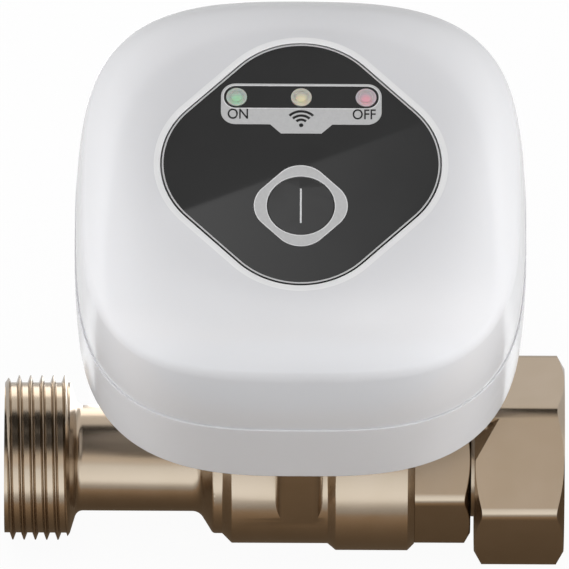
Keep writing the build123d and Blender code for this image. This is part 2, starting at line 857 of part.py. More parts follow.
def legend_outline():
    """Silver plate around the lamps: a rounded bar with a tab below its middle."""
    height = legend_high - legend_low
    bar = RectangleRounded(2 * legend_half_width, height, legend_corner)
    bar = Pos(0, (legend_high + legend_low) / 2) * bar
    over = legend_low + legend_corner
    tab = make_face(Polyline((-tab_wide, over), (-tab_wide, legend_low), (-tab_narrow, tab_low),
                             (tab_narrow, tab_low), (tab_wide, legend_low), (tab_wide, over), close=True))
    middle = (window_high + window_low) / 2
    window = RectangleRounded(2 * window_half_width, window_high - window_low, window_corner)
    return bar + tab - Pos(0, middle) * window


def legend_plate():
    return extrude(Pos(0, 0, rim_level - legend_thickness) * legend_outline(), legend_thickness)


def button_ring():
    plate = diamond_plate(ring_half_side, ring_corner, (rim_level - ring_thickness, rim_level))
    plate = Pos(0, button_y, 0) * plate
    return plate - post(button_radius + button_clearance, (panel_base, rim_level + wall), 0, button_y)


def front_panel():
    """Black panel with recesses for the printed plates, the lamps' holes and the button's hole."""
    panel = diamond_plate(panel_half_side, panel_corner, (panel_base, rim_level))
    panel -= legend_plate()
    panel -= Pos(0, button_y, 0) * diamond_plate(ring_half_side, ring_corner,
                                                 (rim_level - ring_thickness, rim_level))
    panel -= post(button_radius + button_clearance, (panel_base - wall, rim_level + wall), 0, button_y)
    for x in (-lamp_spacing, 0, lamp_spacing):
        panel -= post(lens_radius + lens_clearance, (panel_base - wall, rim_level + wall), x, lamp_level)
    return panel


def lens(x):
    """A round lamp cover pressed into the panel, its top edge rounded."""
    cover = post(lens_radius, (rim_level - lens_depth, rim_level + lens_proud), x, lamp_level)
    return fillet(cover.edges().sort_by(Axis.Z)[-1], lens_proud)


def power_button():
    button = post(button_radius, (button_flange_top, button_top), 0, button_y)
    button = fillet(button.edges().sort_by(Axis.Z)[-1], face_gap)
    button += post(button_radius + button_flange_width, (plunger_top, button_flange_top), 0, button_y)
    return button - button_mark()


def button_mark():
    half = mark_width / 2
    reach = mark_length / 2
    return block((-half, half), (button_y - reach, button_y + reach), (button_top - mark_depth, button_top))


def switch_plunger():
    return post(plunger_radius, (switch_top - plunger_depth + button_travel, plunger_top), 0, button_y)


def tact_switch():
    half = switch_width / 2
    body = block((-half, half), (button_y - half, button_y + half), (board_top, switch_top))
    floor = switch_top - plunger_depth
    return body - post(plunger_radius + sliding_clearance, (floor - face_gap, rim_level), 0, button_y)


def board_outline_cuts(board):
    for x, y in at_corners(board_screw_offset):
        board -= post(small_screw_radius + screw_hole_slack, (board_base - wall, board_top + wall), x, y)
    return board


def main_board():
    board = slab(board_width, board_width, board_corner, (board_base, board_top))
    return board_outline_cuts(board)


def board_screws():
    return [screw(small_screw_radius, small_head_radius, small_head_height, board_base - small_head_height,
                  ledge_base + wall / 2, x, y) for x, y in at_corners(board_screw_offset)]


def indicator_leds():
    """Three round lamps on the board, one under each lens."""
    lamps = []
    for x in (-lamp_spacing, 0, lamp_spacing):
        top = rim_level - lens_depth - face_gap
        lamp = post(led_radius, (board_top, top), x, lamp_level)
        lamps.append(fillet(lamp.edges().sort_by(Axis.Z)[-1], led_radius / 2))
    return lamps


def wireless_module():
    """Small radio board with its screening can, under the main board."""
    low = board_base - module_height
    card = slab(module_length, module_width, module_corner, (low, board_base), module_x, module_y)
    can = slab(module_length - 2 * module_can_end_margin, module_width - 2 * module_can_side_margin,
               module_corner, (low - module_can_height, low), module_x - module_can_side_margin, module_y)
    return card + can


def board_parts():
    """Relay, two capacitors and a plug socket under the board."""
    low = board_base - relay_height
    relay = slab(relay_length, relay_width, part_corner, (low, board_base), -part_place, -part_place)
    socket = slab(relay_width, relay_width / 2, part_corner, (low, board_base), 0, part_place)
    cans = [post(capacitor_radius, (low, board_base), x * part_place / 2 - part_place, 0) for x in (-1, 1)]
    return [relay, socket] + cans


def gear_outline(teeth, module):
    """Spur gear outline with involute flanks, shortened teeth and a little backlash."""
    pitch = teeth * module / 2
    base = pitch * math.cos(math.radians(pressure_angle))
    tip = pitch + addendum_share * module
    root = pitch - dedendum_share * module
    opening = math.tan(math.radians(pressure_angle)) - math.radians(pressure_angle)
    half_tooth = math.pi / 2 / teeth - tooth_backlash / 2 / pitch + opening
    flank = []
    for k in range(flank_steps + 1):
        radius = max(base, root) + (tip - max(base, root)) * k / flank_steps
        turn = math.acos(min(1.0, base / radius))
        flank.append((radius, half_tooth - math.tan(turn) + turn))
    half = ([(root, half_tooth)] if root < base else []) + flank
    points = []
    for tooth in range(teeth):
        middle = 2 * math.pi * tooth / teeth
        for radius, turn in half:
            points.append((radius, middle - turn))
        for radius, turn in reversed(half):
            points.append((radius, middle + turn))
    corners = [(r * math.cos(a), r * math.sin(a)) for r, a in points]
    return make_face(Polyline(*corners, close=True))


def gear(teeth, module, z, x, y, turn):
    """A spur gear between two heights, turned so that a tooth points at an angle."""
    return extrude(Pos(x, y, z[0]) * Rot(0, 0, turn) * gear_outline(teeth, module), z[1] - z[0])


def mesh_angle():
    """Direction from the idler to the motor."""
    return math.degrees(math.atan2(motor_y - idler_y, motor_x - idler_x))


def output_gear():
    wheel = gear(output_teeth, output_module, (output_gear_base, output_gear_top), 0, 0, idler_angle)
    hub = post(output_shaft_radius + hub_radius, (output_gear_base - gear_hub_drop, output_gear_top))
    bore = post(output_shaft_radius, (floor_top, plate_top))
    web = [post(hub_radius, (output_gear_base - wall, output_gear_top + wall), radius_x, radius_y)
           for radius_x, radius_y in at_corners(output_tip_radius * gear_web_hole_share)]
    return wheel + hub - bore - web


def idler_gear():
    """Large wheel and small pinion moulded as one, running on a fixed axle."""
    wheel = gear(idler_wheel_teeth, input_module, (wheel_base, wheel_top), idler_x, idler_y, mesh_angle())
    pinion_turn = idler_angle + 180 + 180 / idler_pinion_teeth
    pinion_z = (output_gear_base, wheel_base)
    pinion = gear(idler_pinion_teeth, output_module, pinion_z, idler_x, idler_y, pinion_turn)
    bore = post(axle_radius + running_clearance, (floor_top, plate_top), idler_x, idler_y)
    return wheel + pinion - bore


def idler_axle():
    return post(axle_radius, (motor_body_top - screw_bite, plate_top), idler_x, idler_y)


def gear_motor():
    """Round gear motor standing on the floor."""
    can = post(motor_radius, (floor_top, motor_body_top), motor_x, motor_y)
    return fillet(can.edges().sort_by(Axis.Z)[-1], motor_edge_round)


def motor_pinion():
    """Pinion with its hub and the motor shaft that turns with it."""
    turn = mesh_angle() + 180 + 180 / motor_teeth
    pinion = gear(motor_teeth, input_module, (wheel_base, wheel_top), motor_x, motor_y, turn)
    shaft_z = (motor_body_top + running_clearance, wheel_top)
    return pinion + post(motor_shaft_radius, shaft_z, motor_x, motor_y)


def output_shaft():
    """Long shaft from the stem's square up through both bushes."""
    low = stem_square_base + touch_gap
    shaft = post(output_shaft_radius, (low, shaft_top))
    side = stem_square / 2 + sliding_clearance
    return shaft - block((-side, side), (-side, side), (low - cut_overrun, stem_top + touch_gap))


def shaft_bush(low, high, flange_up):
    """Plain bush with one flange."""
    bush = post(bush_radius - running_clearance, (low, high))
    start = high if flange_up else low - bush_flange_thickness
    bush += post(bush_radius + bush_flange_width, (start, start + bush_flange_thickness))
    return bush - post(output_shaft_radius + running_clearance, (low - wall, high + wall))


def gearbox_plate():
    """Plate on four columns that holds the upper bush and the tops of the axles."""
    places = column_places() + [(idler_x, idler_y), (motor_x, motor_y)]
    discs = [Pos(x, y) * Circle(plate_rim) for x, y in places]
    outline = make_hull([edge for disc in discs for edge in disc.edges()])
    plate = extrude(Pos(0, 0, plate_base) * outline, plate_thickness)
    plate -= post(bush_radius, (plate_base - wall, plate_top + wall))
    plate -= post(axle_radius, (plate_base - wall, plate_top + wall), idler_x, idler_y)
    for x, y in column_places():
        plate -= post(small_screw_radius + screw_hole_slack, (plate_base - wall, plate_top + wall), x, y)
    return plate


def plate_screws():
    return [screw(small_screw_radius, small_head_radius, small_head_height, plate_top + small_head_height,
                  plate_base - screw_bite + face_gap, x, y) for x, y in column_places()]


def position_cam():
    """Cam on the output shaft, its lobe on the open switch at rest."""
    z = (cam_base, cam_base + cam_thickness)
    cam = post(cam_radius, z)
    lobe = post(cam_lobe_radius, z)
    reach = 2 * cam_lobe_radius
    spread = math.radians(cam_lobe_angle / 2)
    wedge = make_face(Polyline((0, 0), (reach * math.cos(spread), -reach * math.sin(spread)),
                               (reach * math.cos(spread), reach * math.sin(spread)), close=True))
    turn = Rot(0, 0, -limit_switch_angle)
    cam += lobe & extrude(Pos(0, 0, z[0]) * turn * wedge, z[1] - z[0])
    return cam - post(output_shaft_radius, (floor_top, plate_top))


def limit_switch(angle):
    """Small switch hung under the plate, with its plunger at the cam."""
    near = cam_lobe_radius + touch_gap + limit_plunger_length
    half = limit_switch_length / 2
    body = block((near, near + limit_switch_depth), (-half, half), (cam_base, plate_base))
    level = (cam_base + cam_thickness / 2)
    plunger = Pos(near - limit_plunger_length, 0, level) * Rot(0, 90, 0)
    stand = (Align.CENTER, Align.CENTER, Align.MIN)
    body += plunger * Cylinder(limit_plunger_radius, limit_plunger_length + face_gap, align=stand)
    return Rot(0, 0, angle) * body


def dc_jack():
    """Round power inlet fixed inside the rear wall."""
    level = floor_top + jack_height / 2
    face = room_half_width - wall
    body = block((jack_x - jack_width / 2, jack_x + jack_width / 2), (face - jack_depth, face),
                 (floor_top, floor_top + jack_height))
    nose = Pos(jack_x, face, level) * Rot(90, 0, 0) * Cylinder(jack_hole_radius + bottom_edge_round, 4 * wall)
    keep = block((0, room_half_width), (0, room_half_width + wall / 2), (floor_top, seam_level))
    body += nose & keep
    hole = Pos(jack_x, room_half_width + wall - jack_pin_length, level) * Rot(-90, 0, 0)
    stand = (Align.CENTER, Align.CENTER, Align.MIN)
    return body - hole * Cylinder(jack_hole_radius, jack_pin_length + wall, align=stand)


def jack_pin():
    level = floor_top + jack_height / 2
    start = room_half_width + wall - jack_pin_length
    stand = (Align.CENTER, Align.CENTER, Align.MIN)
    pin = Cylinder(jack_pin_radius, jack_pin_length - wall, align=stand)
    return Pos(jack_x, start, level) * Rot(-90, 0, 0) * pin


def pieces():
    """Every piece by its name."""
    return {
        "valve_body": valve_body(),
        "end_cap": end_cap(),
        "union_nut": union_nut(),
        "nut_snap_ring": nut_snap_ring(),
        "union_gasket": union_gasket(),
        "ball": ball(),
        "seat_ring_inlet": seat_ring(0),
        "seat_ring_outlet": seat_ring(180),
        "stem": stem(),
        "stem_thrust_washer": stem_thrust_washer(),
        "stem_orings": stem_orings(),
        "end_cap_oring": end_cap_oring(),
        "flange_gasket": flange_gasket(),
        "flange_screws": flange_screws(),
        "base_shell": base_shell(),
        "top_cover": top_cover(),
        "housing_gasket": housing_gasket(),
        "case_screws": case_screws(),
        "front_panel": front_panel(),
        "legend_plate": legend_plate(),
        "button_ring": button_ring(),
        "power_button": power_button(),
        "button_mark": button_mark(),
        "lens_on": lens(-lamp_spacing),
        "lens_wireless": lens(0),
        "lens_off": lens(lamp_spacing),
        "indicator_leds": indicator_leds(),
        "main_board": main_board(),
        "wireless_module": wireless_module(),
        "board_parts": board_parts(),
        "tact_switch": tact_switch(),
        "switch_plunger": switch_plunger(),
        "board_screws": board_screws(),
        "gear_motor": gear_motor(),
        "motor_pinion": motor_pinion(),
        "idler_gear": idler_gear(),
        "idler_axle": idler_axle(),
        "output_gear": output_gear(),
        "output_shaft": output_shaft(),
        "shaft_bush_lower": shaft_bush(housing_floor_level, floor_top, True),
        "shaft_bush_upper": shaft_bush(plate_base, plate_top, False),
        "gearbox_plate": gearbox_plate(),
        "plate_screws": plate_screws(),
        "position_cam": position_cam(),
        "limit_switch_open": limit_switch(-limit_switch_angle),
        "limit_switch_closed": limit_switch(limit_switch_angle),
        "dc_jack": dc_jack(),
        "jack_pin": jack_pin(),
    }


os.makedirs("parts", exist_ok=True)
for name, shape in pieces().items():
    if isinstance(shape, list):
        shape = Compound([solid for piece in shape for solid in piece.solids()])
    export_step(shape, f"parts/{name}.step")
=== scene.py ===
# %% [markdown]
# A motorised ball valve sits in a water pipe. Its brass body carries a white plastic housing with a black
# panel. Every metal and plastic piece has its real size in a imported model, which is loaded first. This
# script dresses that model: it rebuilds the shells and threads as smooth meshes and gives each finish its
# own material.
# %% Load the imported model
import json
import math

import bmesh
import bpy
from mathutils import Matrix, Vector

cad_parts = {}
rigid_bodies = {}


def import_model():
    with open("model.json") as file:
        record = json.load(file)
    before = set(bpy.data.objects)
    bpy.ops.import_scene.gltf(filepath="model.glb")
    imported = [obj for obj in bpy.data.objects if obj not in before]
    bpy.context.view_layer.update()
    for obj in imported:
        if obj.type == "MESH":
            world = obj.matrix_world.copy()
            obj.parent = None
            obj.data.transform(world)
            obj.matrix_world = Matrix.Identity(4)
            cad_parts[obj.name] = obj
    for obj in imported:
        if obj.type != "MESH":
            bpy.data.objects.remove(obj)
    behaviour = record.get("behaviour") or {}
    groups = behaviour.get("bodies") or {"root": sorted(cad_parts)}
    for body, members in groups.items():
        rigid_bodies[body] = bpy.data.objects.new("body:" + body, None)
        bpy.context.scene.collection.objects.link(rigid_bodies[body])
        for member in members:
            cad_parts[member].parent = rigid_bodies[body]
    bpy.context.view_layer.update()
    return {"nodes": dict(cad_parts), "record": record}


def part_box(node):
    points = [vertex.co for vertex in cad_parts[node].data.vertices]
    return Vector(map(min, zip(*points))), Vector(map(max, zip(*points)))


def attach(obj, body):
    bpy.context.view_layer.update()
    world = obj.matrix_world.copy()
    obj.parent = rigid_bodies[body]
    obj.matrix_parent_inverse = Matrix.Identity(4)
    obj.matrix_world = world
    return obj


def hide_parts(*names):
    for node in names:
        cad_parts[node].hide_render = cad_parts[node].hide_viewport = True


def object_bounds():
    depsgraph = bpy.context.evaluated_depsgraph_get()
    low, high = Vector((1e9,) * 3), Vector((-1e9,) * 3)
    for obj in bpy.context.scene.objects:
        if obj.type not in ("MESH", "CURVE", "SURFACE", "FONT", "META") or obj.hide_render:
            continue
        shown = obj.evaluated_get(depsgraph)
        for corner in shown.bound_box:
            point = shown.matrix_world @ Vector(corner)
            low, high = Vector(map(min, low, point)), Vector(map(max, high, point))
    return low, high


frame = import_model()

MM = 0.001
nodes = frame["nodes"]

# %% [markdown]
# The picture was taken from straight in front and high above, with a very long lens, so lines that are
# parallel on the valve stay parallel. A long lens far away gives that look and still lets other views move
# the camera. The camera aims at the stem, a little left of it, and leans by a third of a degree.
# %% Camera
FRAME_WIDTH = 90.3 * MM
LENS = 1600
SENSOR = 36
ELEVATION = math.radians(59.5)
ROLL = math.radians(0.3)
AIM = Vector((-2.5, 0.27, 54.66)) * MM
toward = Vector((0, -math.cos(ELEVATION), math.sin(ELEVATION)))
lens_data = bpy.data.cameras.new("camera")
lens_data.lens = LENS
lens_data.sensor_width = SENSOR
lens_data.clip_end = 100
camera = bpy.data.objects.new("camera", lens_data)
bpy.context.scene.collection.objects.link(camera)
camera.location = AIM + toward * FRAME_WIDTH * LENS / SENSOR
camera.rotation_euler = (math.pi / 2 - ELEVATION, 0, 0)
camera.rotation_euler.rotate_axis("Z", ROLL)
bpy.context.scene.camera = camera
bpy.context.scene.view_settings.view_transform = "Standard"
print("camera at", [round(v, 3) for v in camera.location])

# %% [markdown]
# Materials are small trees of nodes. One function adds a node with its settings and its links, and another
# turns a colour as a painter writes it into the linear numbers that light needs. Each finish starts from a
# shader whose constant values stand on its own sockets. A noise has a grain size in millimetres and a depth
# of detail. It seldom leaves the middle of its range, from 0.3 to 0.7, so only that part is spread out.
# %% Material helpers
def to_linear(text):
    """A hex colour as linear red, green, blue and alpha."""
    parts = [int(text[k:k + 2], 16) / 255 for k in (0, 2, 4)]
    return [p / 12.92 if p <= 0.04045 else ((p + 0.055) / 1.055) ** 2.4 for p in parts] + [1.0]


def add(tree, kind, inputs=None, **settings):
    """Add a node, set its settings, and give its inputs a value or a link."""
    made = tree.nodes.new(kind)
    for key, value in settings.items():
        setattr(made, key, value)
    for key, value in (inputs or {}).items():
        if isinstance(value, bpy.types.NodeSocket):
            tree.links.new(value, made.inputs[key])
        else:
            made.inputs[key].default_value = value
    return made


def empty_tree(owner):
    """The emptied node tree of a material or of the world."""
    owner.use_nodes = True
    owner.node_tree.nodes.clear()
    return owner.node_tree


def new_finish(name, colour, roughness, **values):
    """A material with one shader; other values are the shader's sockets, with underscores for spaces."""
    material = bpy.data.materials.new(name)
    tree = empty_tree(material)
    sockets = {"Base Color": to_linear(colour), "Roughness": roughness}
    sockets.update({key.replace("_", " "): value for key, value in values.items()})
    shader = add(tree, "ShaderNodeBsdfPrincipled", sockets)
    add(tree, "ShaderNodeOutputMaterial", {"Surface": shader.outputs[0]})
    return material, tree, shader


def speckle(tree, size_mm, detail=3.0, stretch=(1, 1, 1)):
    """Noise with a grain of a real size, in the piece's own coordinates."""
    place = add(tree, "ShaderNodeTexCoord")
    mapped = add(tree, "ShaderNodeMapping", {"Vector": place.outputs["Object"], "Scale": stretch})
    inputs = {"Vector": mapped.outputs[0], "Scale": 1 / (size_mm * MM), "Detail": detail}
    return add(tree, "ShaderNodeTexNoise", inputs)


def blend_colours(tree, shader, share, low, high):
    """Let a socket between zero and one choose the colour between two shades."""
    shades = {0: share, 6: to_linear(low), 7: to_linear(high)}
    mix = add(tree, "ShaderNodeMix", shades, data_type="RGBA")
    tree.links.new(mix.outputs[2], shader.inputs["Base Color"])


def spread(tree, noise, low=0.0, high=1.0):
    """The middle of a noise's range, spread between two values."""
    inputs = {"Value": noise.outputs[0], "From Min": 0.3, "From Max": 0.7, "To Min": low, "To Max": high}
    return add(tree, "ShaderNodeMapRange", inputs).outputs[0]


def vary_colour(tree, shader, noise, low, high):
    """Let a noise move the colour between two shades."""
    blend_colours(tree, shader, spread(tree, noise), low, high)


def raise_grain(tree, shader, noise, depth_mm):
    """Let a noise lift the surface by a real height."""
    inputs = {"Height": noise.outputs[0], "Distance": depth_mm * MM, "Strength": 1.0}
    bump = add(tree, "ShaderNodeBump", inputs)
    tree.links.new(bump.outputs[0], shader.inputs["Normal"])


def grained(name, colour, roughness, grain, depth_mm, low, high, **values):
    """A finish with two close shades and, where a depth is given, a raised grain."""
    material, tree, shader = new_finish(name, colour, roughness, **values)
    noise = speckle(tree, *grain)
    vary_colour(tree, shader, noise, low, high)
    if depth_mm:
        raise_grain(tree, shader, noise, depth_mm)
    return material


# %% [markdown]
# The body, the end piece and the union nut are forged brass, machined and then plated in a champagne
# bronze tone. The plating is smooth and satin, so it shows broad soft reflections. Forging leaves a very
# slight waviness under it, and handling leaves faint changes in gloss.
# %% Plated brass
brass, tree, shader = new_finish("plated brass", "b2a28e", 0.21, Metallic=1.0)
vary_colour(tree, shader, speckle(tree, 6.0, 2.0), "b0a08c", "b4a491")
tree.links.new(spread(tree, speckle(tree, 3.0, 2.0), 0.2, 0.23), shader.inputs["Roughness"])
raise_grain(tree, shader, speckle(tree, 1.5, 2.0), 0.0006)
print("made", brass.name)

# %% [markdown]
# Inside are other metals: bare turned brass, zinc-plated screws, ground steel, a drawn motor can and the
# chromed ball. They are rarely seen, and each has the grain of its making.
# %% Other metals
def metal(name, colour, roughness, grain_mm, depth_mm, low, high, stretch=(1, 1, 1)):
    """A bare or plated metal with a fine grain and two close shades."""
    grain = (grain_mm, 4.0, stretch)
    return grained(name, colour, roughness, grain, depth_mm, low, high, Metallic=1.0)


turned_brass = metal("turned brass", "c9a662", 0.26, 0.25, 0.002, "c09c58", "d2b06e")
ground_steel = metal("ground steel", "b4b6ba", 0.24, 0.2, 0.002, "a9abb0", "c0c2c6", (1, 1, 6))
zinc_steel = metal("zinc-plated steel", "c3c6cb", 0.33, 0.3, 0.003, "b6bac0", "cfd2d6")
chromed = metal("chromed ball", "e4e6e9", 0.06, 2.0, 0.0005, "e0e2e6", "e9ebee")
drawn_can = metal("drawn motor can", "b9bbbf", 0.3, 0.4, 0.003, "adafb4", "c6c8cc", (1, 1, 8))
tinned = metal("tinned shield", "c8c9cb", 0.38, 0.5, 0.002, "bdbec1", "d2d3d5")
print("made", turned_brass.name, ground_steel.name, zinc_steel.name)

# %% [markdown]
# The housing is glossy white ABS, moulded in a polished tool. ABS has an index of refraction of about 1.54.
# A little light passes under its surface, which softens its shadows. The tool's polish leaves waves far
# too shallow to see except where a bright reflection crosses them.
# %% White housing plastic
white_abs, tree, shader = new_finish("glossy white ABS", "e6e6e8", 0.2, IOR=1.54, Coat_Weight=0.25,
                                     Coat_Roughness=0.08, Subsurface_Weight=0.06)
shader.inputs["Subsurface Radius"].default_value = (1.2 * MM, 1.1 * MM, 1.0 * MM)
shader.inputs["Subsurface Scale"].default_value = 1.0
vary_colour(tree, shader, speckle(tree, 25.0, 1.0), "e4e4e6", "e8e8ea")
tree.links.new(spread(tree, speckle(tree, 3.0, 3.0), 0.18, 0.23), shader.inputs["Roughness"])
raise_grain(tree, shader, speckle(tree, 2.5, 2.0), 0.001)
print("made", white_abs.name)

# %% [markdown]
# The panel is a black film with a hard gloss coat, and the button is moulded in nearly the same colour. The
# grey plates are printed: an even light grey, with the slightly rough surface of screen ink. The flat land
# around the panel is the housing's own white, painted brighter as a highlight.
# %% Panel, button and print
panel_film, tree, shader = new_finish("black gloss film", "393939", 0.04, IOR=1.5)
vary_colour(tree, shader, speckle(tree, 12.0, 2.0), "383838", "3b3b3b")
raise_grain(tree, shader, speckle(tree, 4.0, 1.0), 0.0001)
button_abs = grained("black button ABS", "404040", 0.16, (5.0, 2.0), 0, "3e3e3e", "424242", IOR=1.52)
# This grey is the legend's real print and also the painted highlight on the panel's rim.
grey_ink_and_edge_highlight = grained("grey screen ink and painted edge highlight", "c6c6c6", 0.5, (0.4, 3.0), 0, "c3c3c3", "cacaca")
# This pale ink is the button line's real print and the painted highlights along the plates' edges.
mark_ink_and_edge_highlight = grained("pale mark ink and painted edge highlight", "e2e2e2", 0.45, (0.4, 3.0), 0, "dedede", "e8e8e8")
dark_ink = grained("dark legend ink", "161616", 0.5, (0.3, 3.0), 0, "121212", "1b1b1b")
# The land's brighter white is a painted highlight on the housing's own plastic.
lit_land_white = grained("white land with painted highlight", "f4f4f4", 0.22, (6.0, 1.0), 0, "f2f2f2", "f6f6f6", IOR=1.54)
print("made", panel_film.name, grey_ink_and_edge_highlight.name, lit_land_white.name)

# %% [markdown]
# A lamp is a clear round cover over a small lamp body. Unlit, it looks milky. Its tint is its own, but the
# brighter colour gathered in the lower half of its inner ring is painted light. Acrylic has an index of about
# 1.49. The painted colour fades with the distance from a point a little in front of the lamp's middle, and a
# second shade marks the rim.
# %% Lamp covers
LAMP_X, LAMP_Y = 10.2, 12.19
PAINTED_GLOW_SHIFT, HEART_R, RIM_R = 0.55, 0.35, 1.35


def lamp_finish(name, rim, heart, x_mm):
    """Milky clear plastic with a painted bright colour at its heart, low in the cover."""
    material, tree, shader = new_finish(name, rim, 0.12, IOR=1.49, Coat_Weight=0.5, Coat_Roughness=0.05,
                                        Subsurface_Weight=0.2, Subsurface_Scale=0.4 * MM)
    place = add(tree, "ShaderNodeTexCoord")
    # The painted glow's middle sits a little low in the cover.
    centre = (-x_mm * MM, -(LAMP_Y - PAINTED_GLOW_SHIFT) * MM, 0)
    moved = add(tree, "ShaderNodeMapping", {"Vector": place.outputs["Object"], "Location": centre})
    flat = add(tree, "ShaderNodeVectorMath", {0: moved.outputs[0], 1: (1, 1, 0)}, operation="MULTIPLY")
    reach = add(tree, "ShaderNodeVectorMath", {0: flat.outputs[0]}, operation="LENGTH")
    inputs = {"Value": reach.outputs["Value"], "From Min": HEART_R * MM, "From Max": RIM_R * MM}
    ramp = add(tree, "ShaderNodeMapRange", inputs, interpolation_type="SMOOTHSTEP")
    blend_colours(tree, shader, ramp.outputs[0], heart, rim)
    return material


# Each cover's second colour is a painted glow: its own tint, made brighter.
green_lens = lamp_finish("green lamp cover", "bcc4bc", "b0e2bb", -LAMP_X)
amber_lens = lamp_finish("amber lamp cover", "c8c5ba", "efe5c0", 0)
red_lens = lamp_finish("red lamp cover", "c9bcc0", "efb2bd", LAMP_X)
clear_led = grained("clear lamp body", "e8e6dc", 0.2, (0.6, 2.0), 0, "e2e0d6", "eeece4", IOR=1.5,
                    Coat_Weight=0.4)
print("lamp covers:", green_lens.name, amber_lens.name, red_lens.name)

# %% [markdown]
# The rest is plain engineering material: rubber, the white waxy plastic of the ball's seats, nylon gears,
# a green circuit board with its solder mask, and the black plastic of small components.
# %% Seals, gears and board
def plain(name, roughness, grain_mm, depth_mm, low, high, **values):
    """A moulded or coated material with a fine surface grain."""
    return grained(name, low, roughness, (grain_mm, 3.0), depth_mm, low, high, **values)


rubber = plain("black rubber", 0.62, 0.3, 0.01, "1a1a1a", "242424")
seat_plastic = plain("white seat plastic", 0.38, 0.8, 0.003, "ececea", "f4f4f2", Subsurface_Weight=0.05,
                     Subsurface_Scale=1.0 * MM)
nylon = plain("white nylon", 0.42, 0.5, 0.004, "dfddd2", "e9e7de")
board_mask = plain("green solder mask", 0.3, 1.5, 0.004, "0e4526", "12522e", IOR=1.5)
component = plain("black component plastic", 0.48, 0.2, 0.005, "1b1b1d", "262629")
print("made", rubber.name, nylon.name, board_mask.name)

# %% [markdown]
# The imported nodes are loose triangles, so a round face would look faceted. A dressed copy joins the
# triangles, shades across soft edges and keeps sharp ones, and then stands for its node. Weighting the
# normals by area keeps flat faces flat next to rounded edges.
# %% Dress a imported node
FINISH_OF_SLOT = {
    "plated_brass": brass, "bare_brass": turned_brass, "spring_steel": ground_steel,
    "screw_steel": zinc_steel, "chromed_ball": chromed, "white_seat": seat_plastic, "rubber_seal": rubber,
    "white_shell": white_abs, "black_panel": panel_film, "black_button": button_abs,
    "silver_print": grey_ink_and_edge_highlight, "white_mark": mark_ink_and_edge_highlight, "lens_green": green_lens, "lens_amber": amber_lens,
    "lens_red": red_lens, "led_clear": clear_led, "circuit_board": board_mask, "shield_can": tinned,
    "dark_component": component, "motor_can": drawn_can, "white_nylon": nylon}
slot_of = {row["node"]: row["material_slot"] for row in frame["record"]["subparts"]}
bodies = frame["record"]["behaviour"]["bodies"]
body_of_node = {name: body for body, names in bodies.items() for name in names}
SOFT_ANGLE, SHELL_ANGLE, BEVEL_ANGLE = math.radians(28), math.radians(40), math.radians(40)
JOIN_DIST, THIN_EDGE = 0.0005, 0.0002


def set_finish(piece, material):
    """Give a piece one material."""
    piece.data.materials.clear()
    piece.data.materials.append(material)


def new_piece(name, mesh):
    """Link a new object with a mesh, at the origin."""
    piece = bpy.data.objects.new(name, mesh)
    bpy.context.scene.collection.objects.link(piece)
    return piece


def make_real(piece):
    """Put what a piece's modifiers make into its own mesh, and take them off."""
    shape = piece.evaluated_get(bpy.context.evaluated_depsgraph_get())
    mesh = bpy.data.meshes.new_from_object(shape)
    piece.modifiers.clear()
    piece.data = mesh
    return piece


def smooth(piece, angle=SOFT_ANGLE):
    """Shade softly across edges under an angle, and weight the normals by face area."""
    edges = bmesh.new()
    edges.from_mesh(piece.data)
    for face in edges.faces:
        face.smooth = True
    for edge in edges.edges:
        edge.smooth = len(edge.link_faces) == 2 and edge.calc_face_angle(0) < angle
    edges.to_mesh(piece.data)
    edges.free()
    weighted = piece.modifiers.new("weighted", "WEIGHTED_NORMAL")
    weighted.keep_sharp = True
    return piece


def settle(piece, like):
    """Make a piece ride with a node's body and stand for it."""
    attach(piece, body_of_node[like])
    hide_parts(like)


def merged_mesh(name, node):
    """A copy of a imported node's mesh with its triangles joined."""
    mesh = nodes[node].data.copy()
    mesh.name = name
    joined = bmesh.new()
    joined.from_mesh(mesh)
    bmesh.ops.remove_doubles(joined, verts=joined.verts, dist=JOIN_DIST * MM)
    bmesh.ops.dissolve_degenerate(joined, edges=joined.edges, dist=THIN_EDGE * MM)
    joined.to_mesh(mesh)
    joined.free()
    return mesh


def dress(node, name, bevel_mm=0.0):
    """Stand a smooth copy of a node in its place, with a small bevel if asked."""
    piece = new_piece(name, merged_mesh(name, node))
    set_finish(piece, FINISH_OF_SLOT[slot_of[node]])
    if bevel_mm:
        edge = piece.modifiers.new("edge", "BEVEL")
        edge.width = bevel_mm * MM
        edge.segments = 2
        edge.limit_method = "ANGLE"
        edge.angle_limit = BEVEL_ANGLE
    smooth(piece)
    settle(piece, node)
    return piece


for node, piece in nodes.items():
    set_finish(piece, FINISH_OF_SLOT[slot_of[node]])
print("finishes given to", len(nodes), "nodes")

# %% [markdown]
# The housing is a rounded square in plan, a superellipse, whose squareness and width change gently with
# height. Its dome runs from that outline to the panel's outline, a smaller rounded square that stands on
# its corner. Both outlines have a simple distance from the middle at each angle, so every ring of the
# shell is a blend of two formulas, and the shells are stacks of such rings.
# %% Outlines of the housing
SEAM_Z, LIP_Z, RIM_Z, FLOOR_Z = 70.25, 84.6, 92.6, 54.9
SEAM_HALF, LIP_HALF, BOTTOM_HALF = 35.72, 34.57, 35.3
SEAM_POWER, LIP_POWER, BOTTOM_POWER = 3.1, 3.2, 2.95
WALL, FLOOR, JOIN = 2.0, 2.4, 0.03
PANEL_HALF, PANEL_CORNER, LAND, PANEL_GAP, PANEL_DEEP = 19.54, 13.7, 1.25, 0.2, 2.0
DOME_FALL = ((1, 0.16), (2, 0.36), (4, 0.48))
RING_STEPS = 288


def squircle(angle, half, power):
    """Distance to a superellipse at an angle."""
    return half / (abs(math.cos(angle)) ** power + abs(math.sin(angle)) ** power) ** (1 / power)


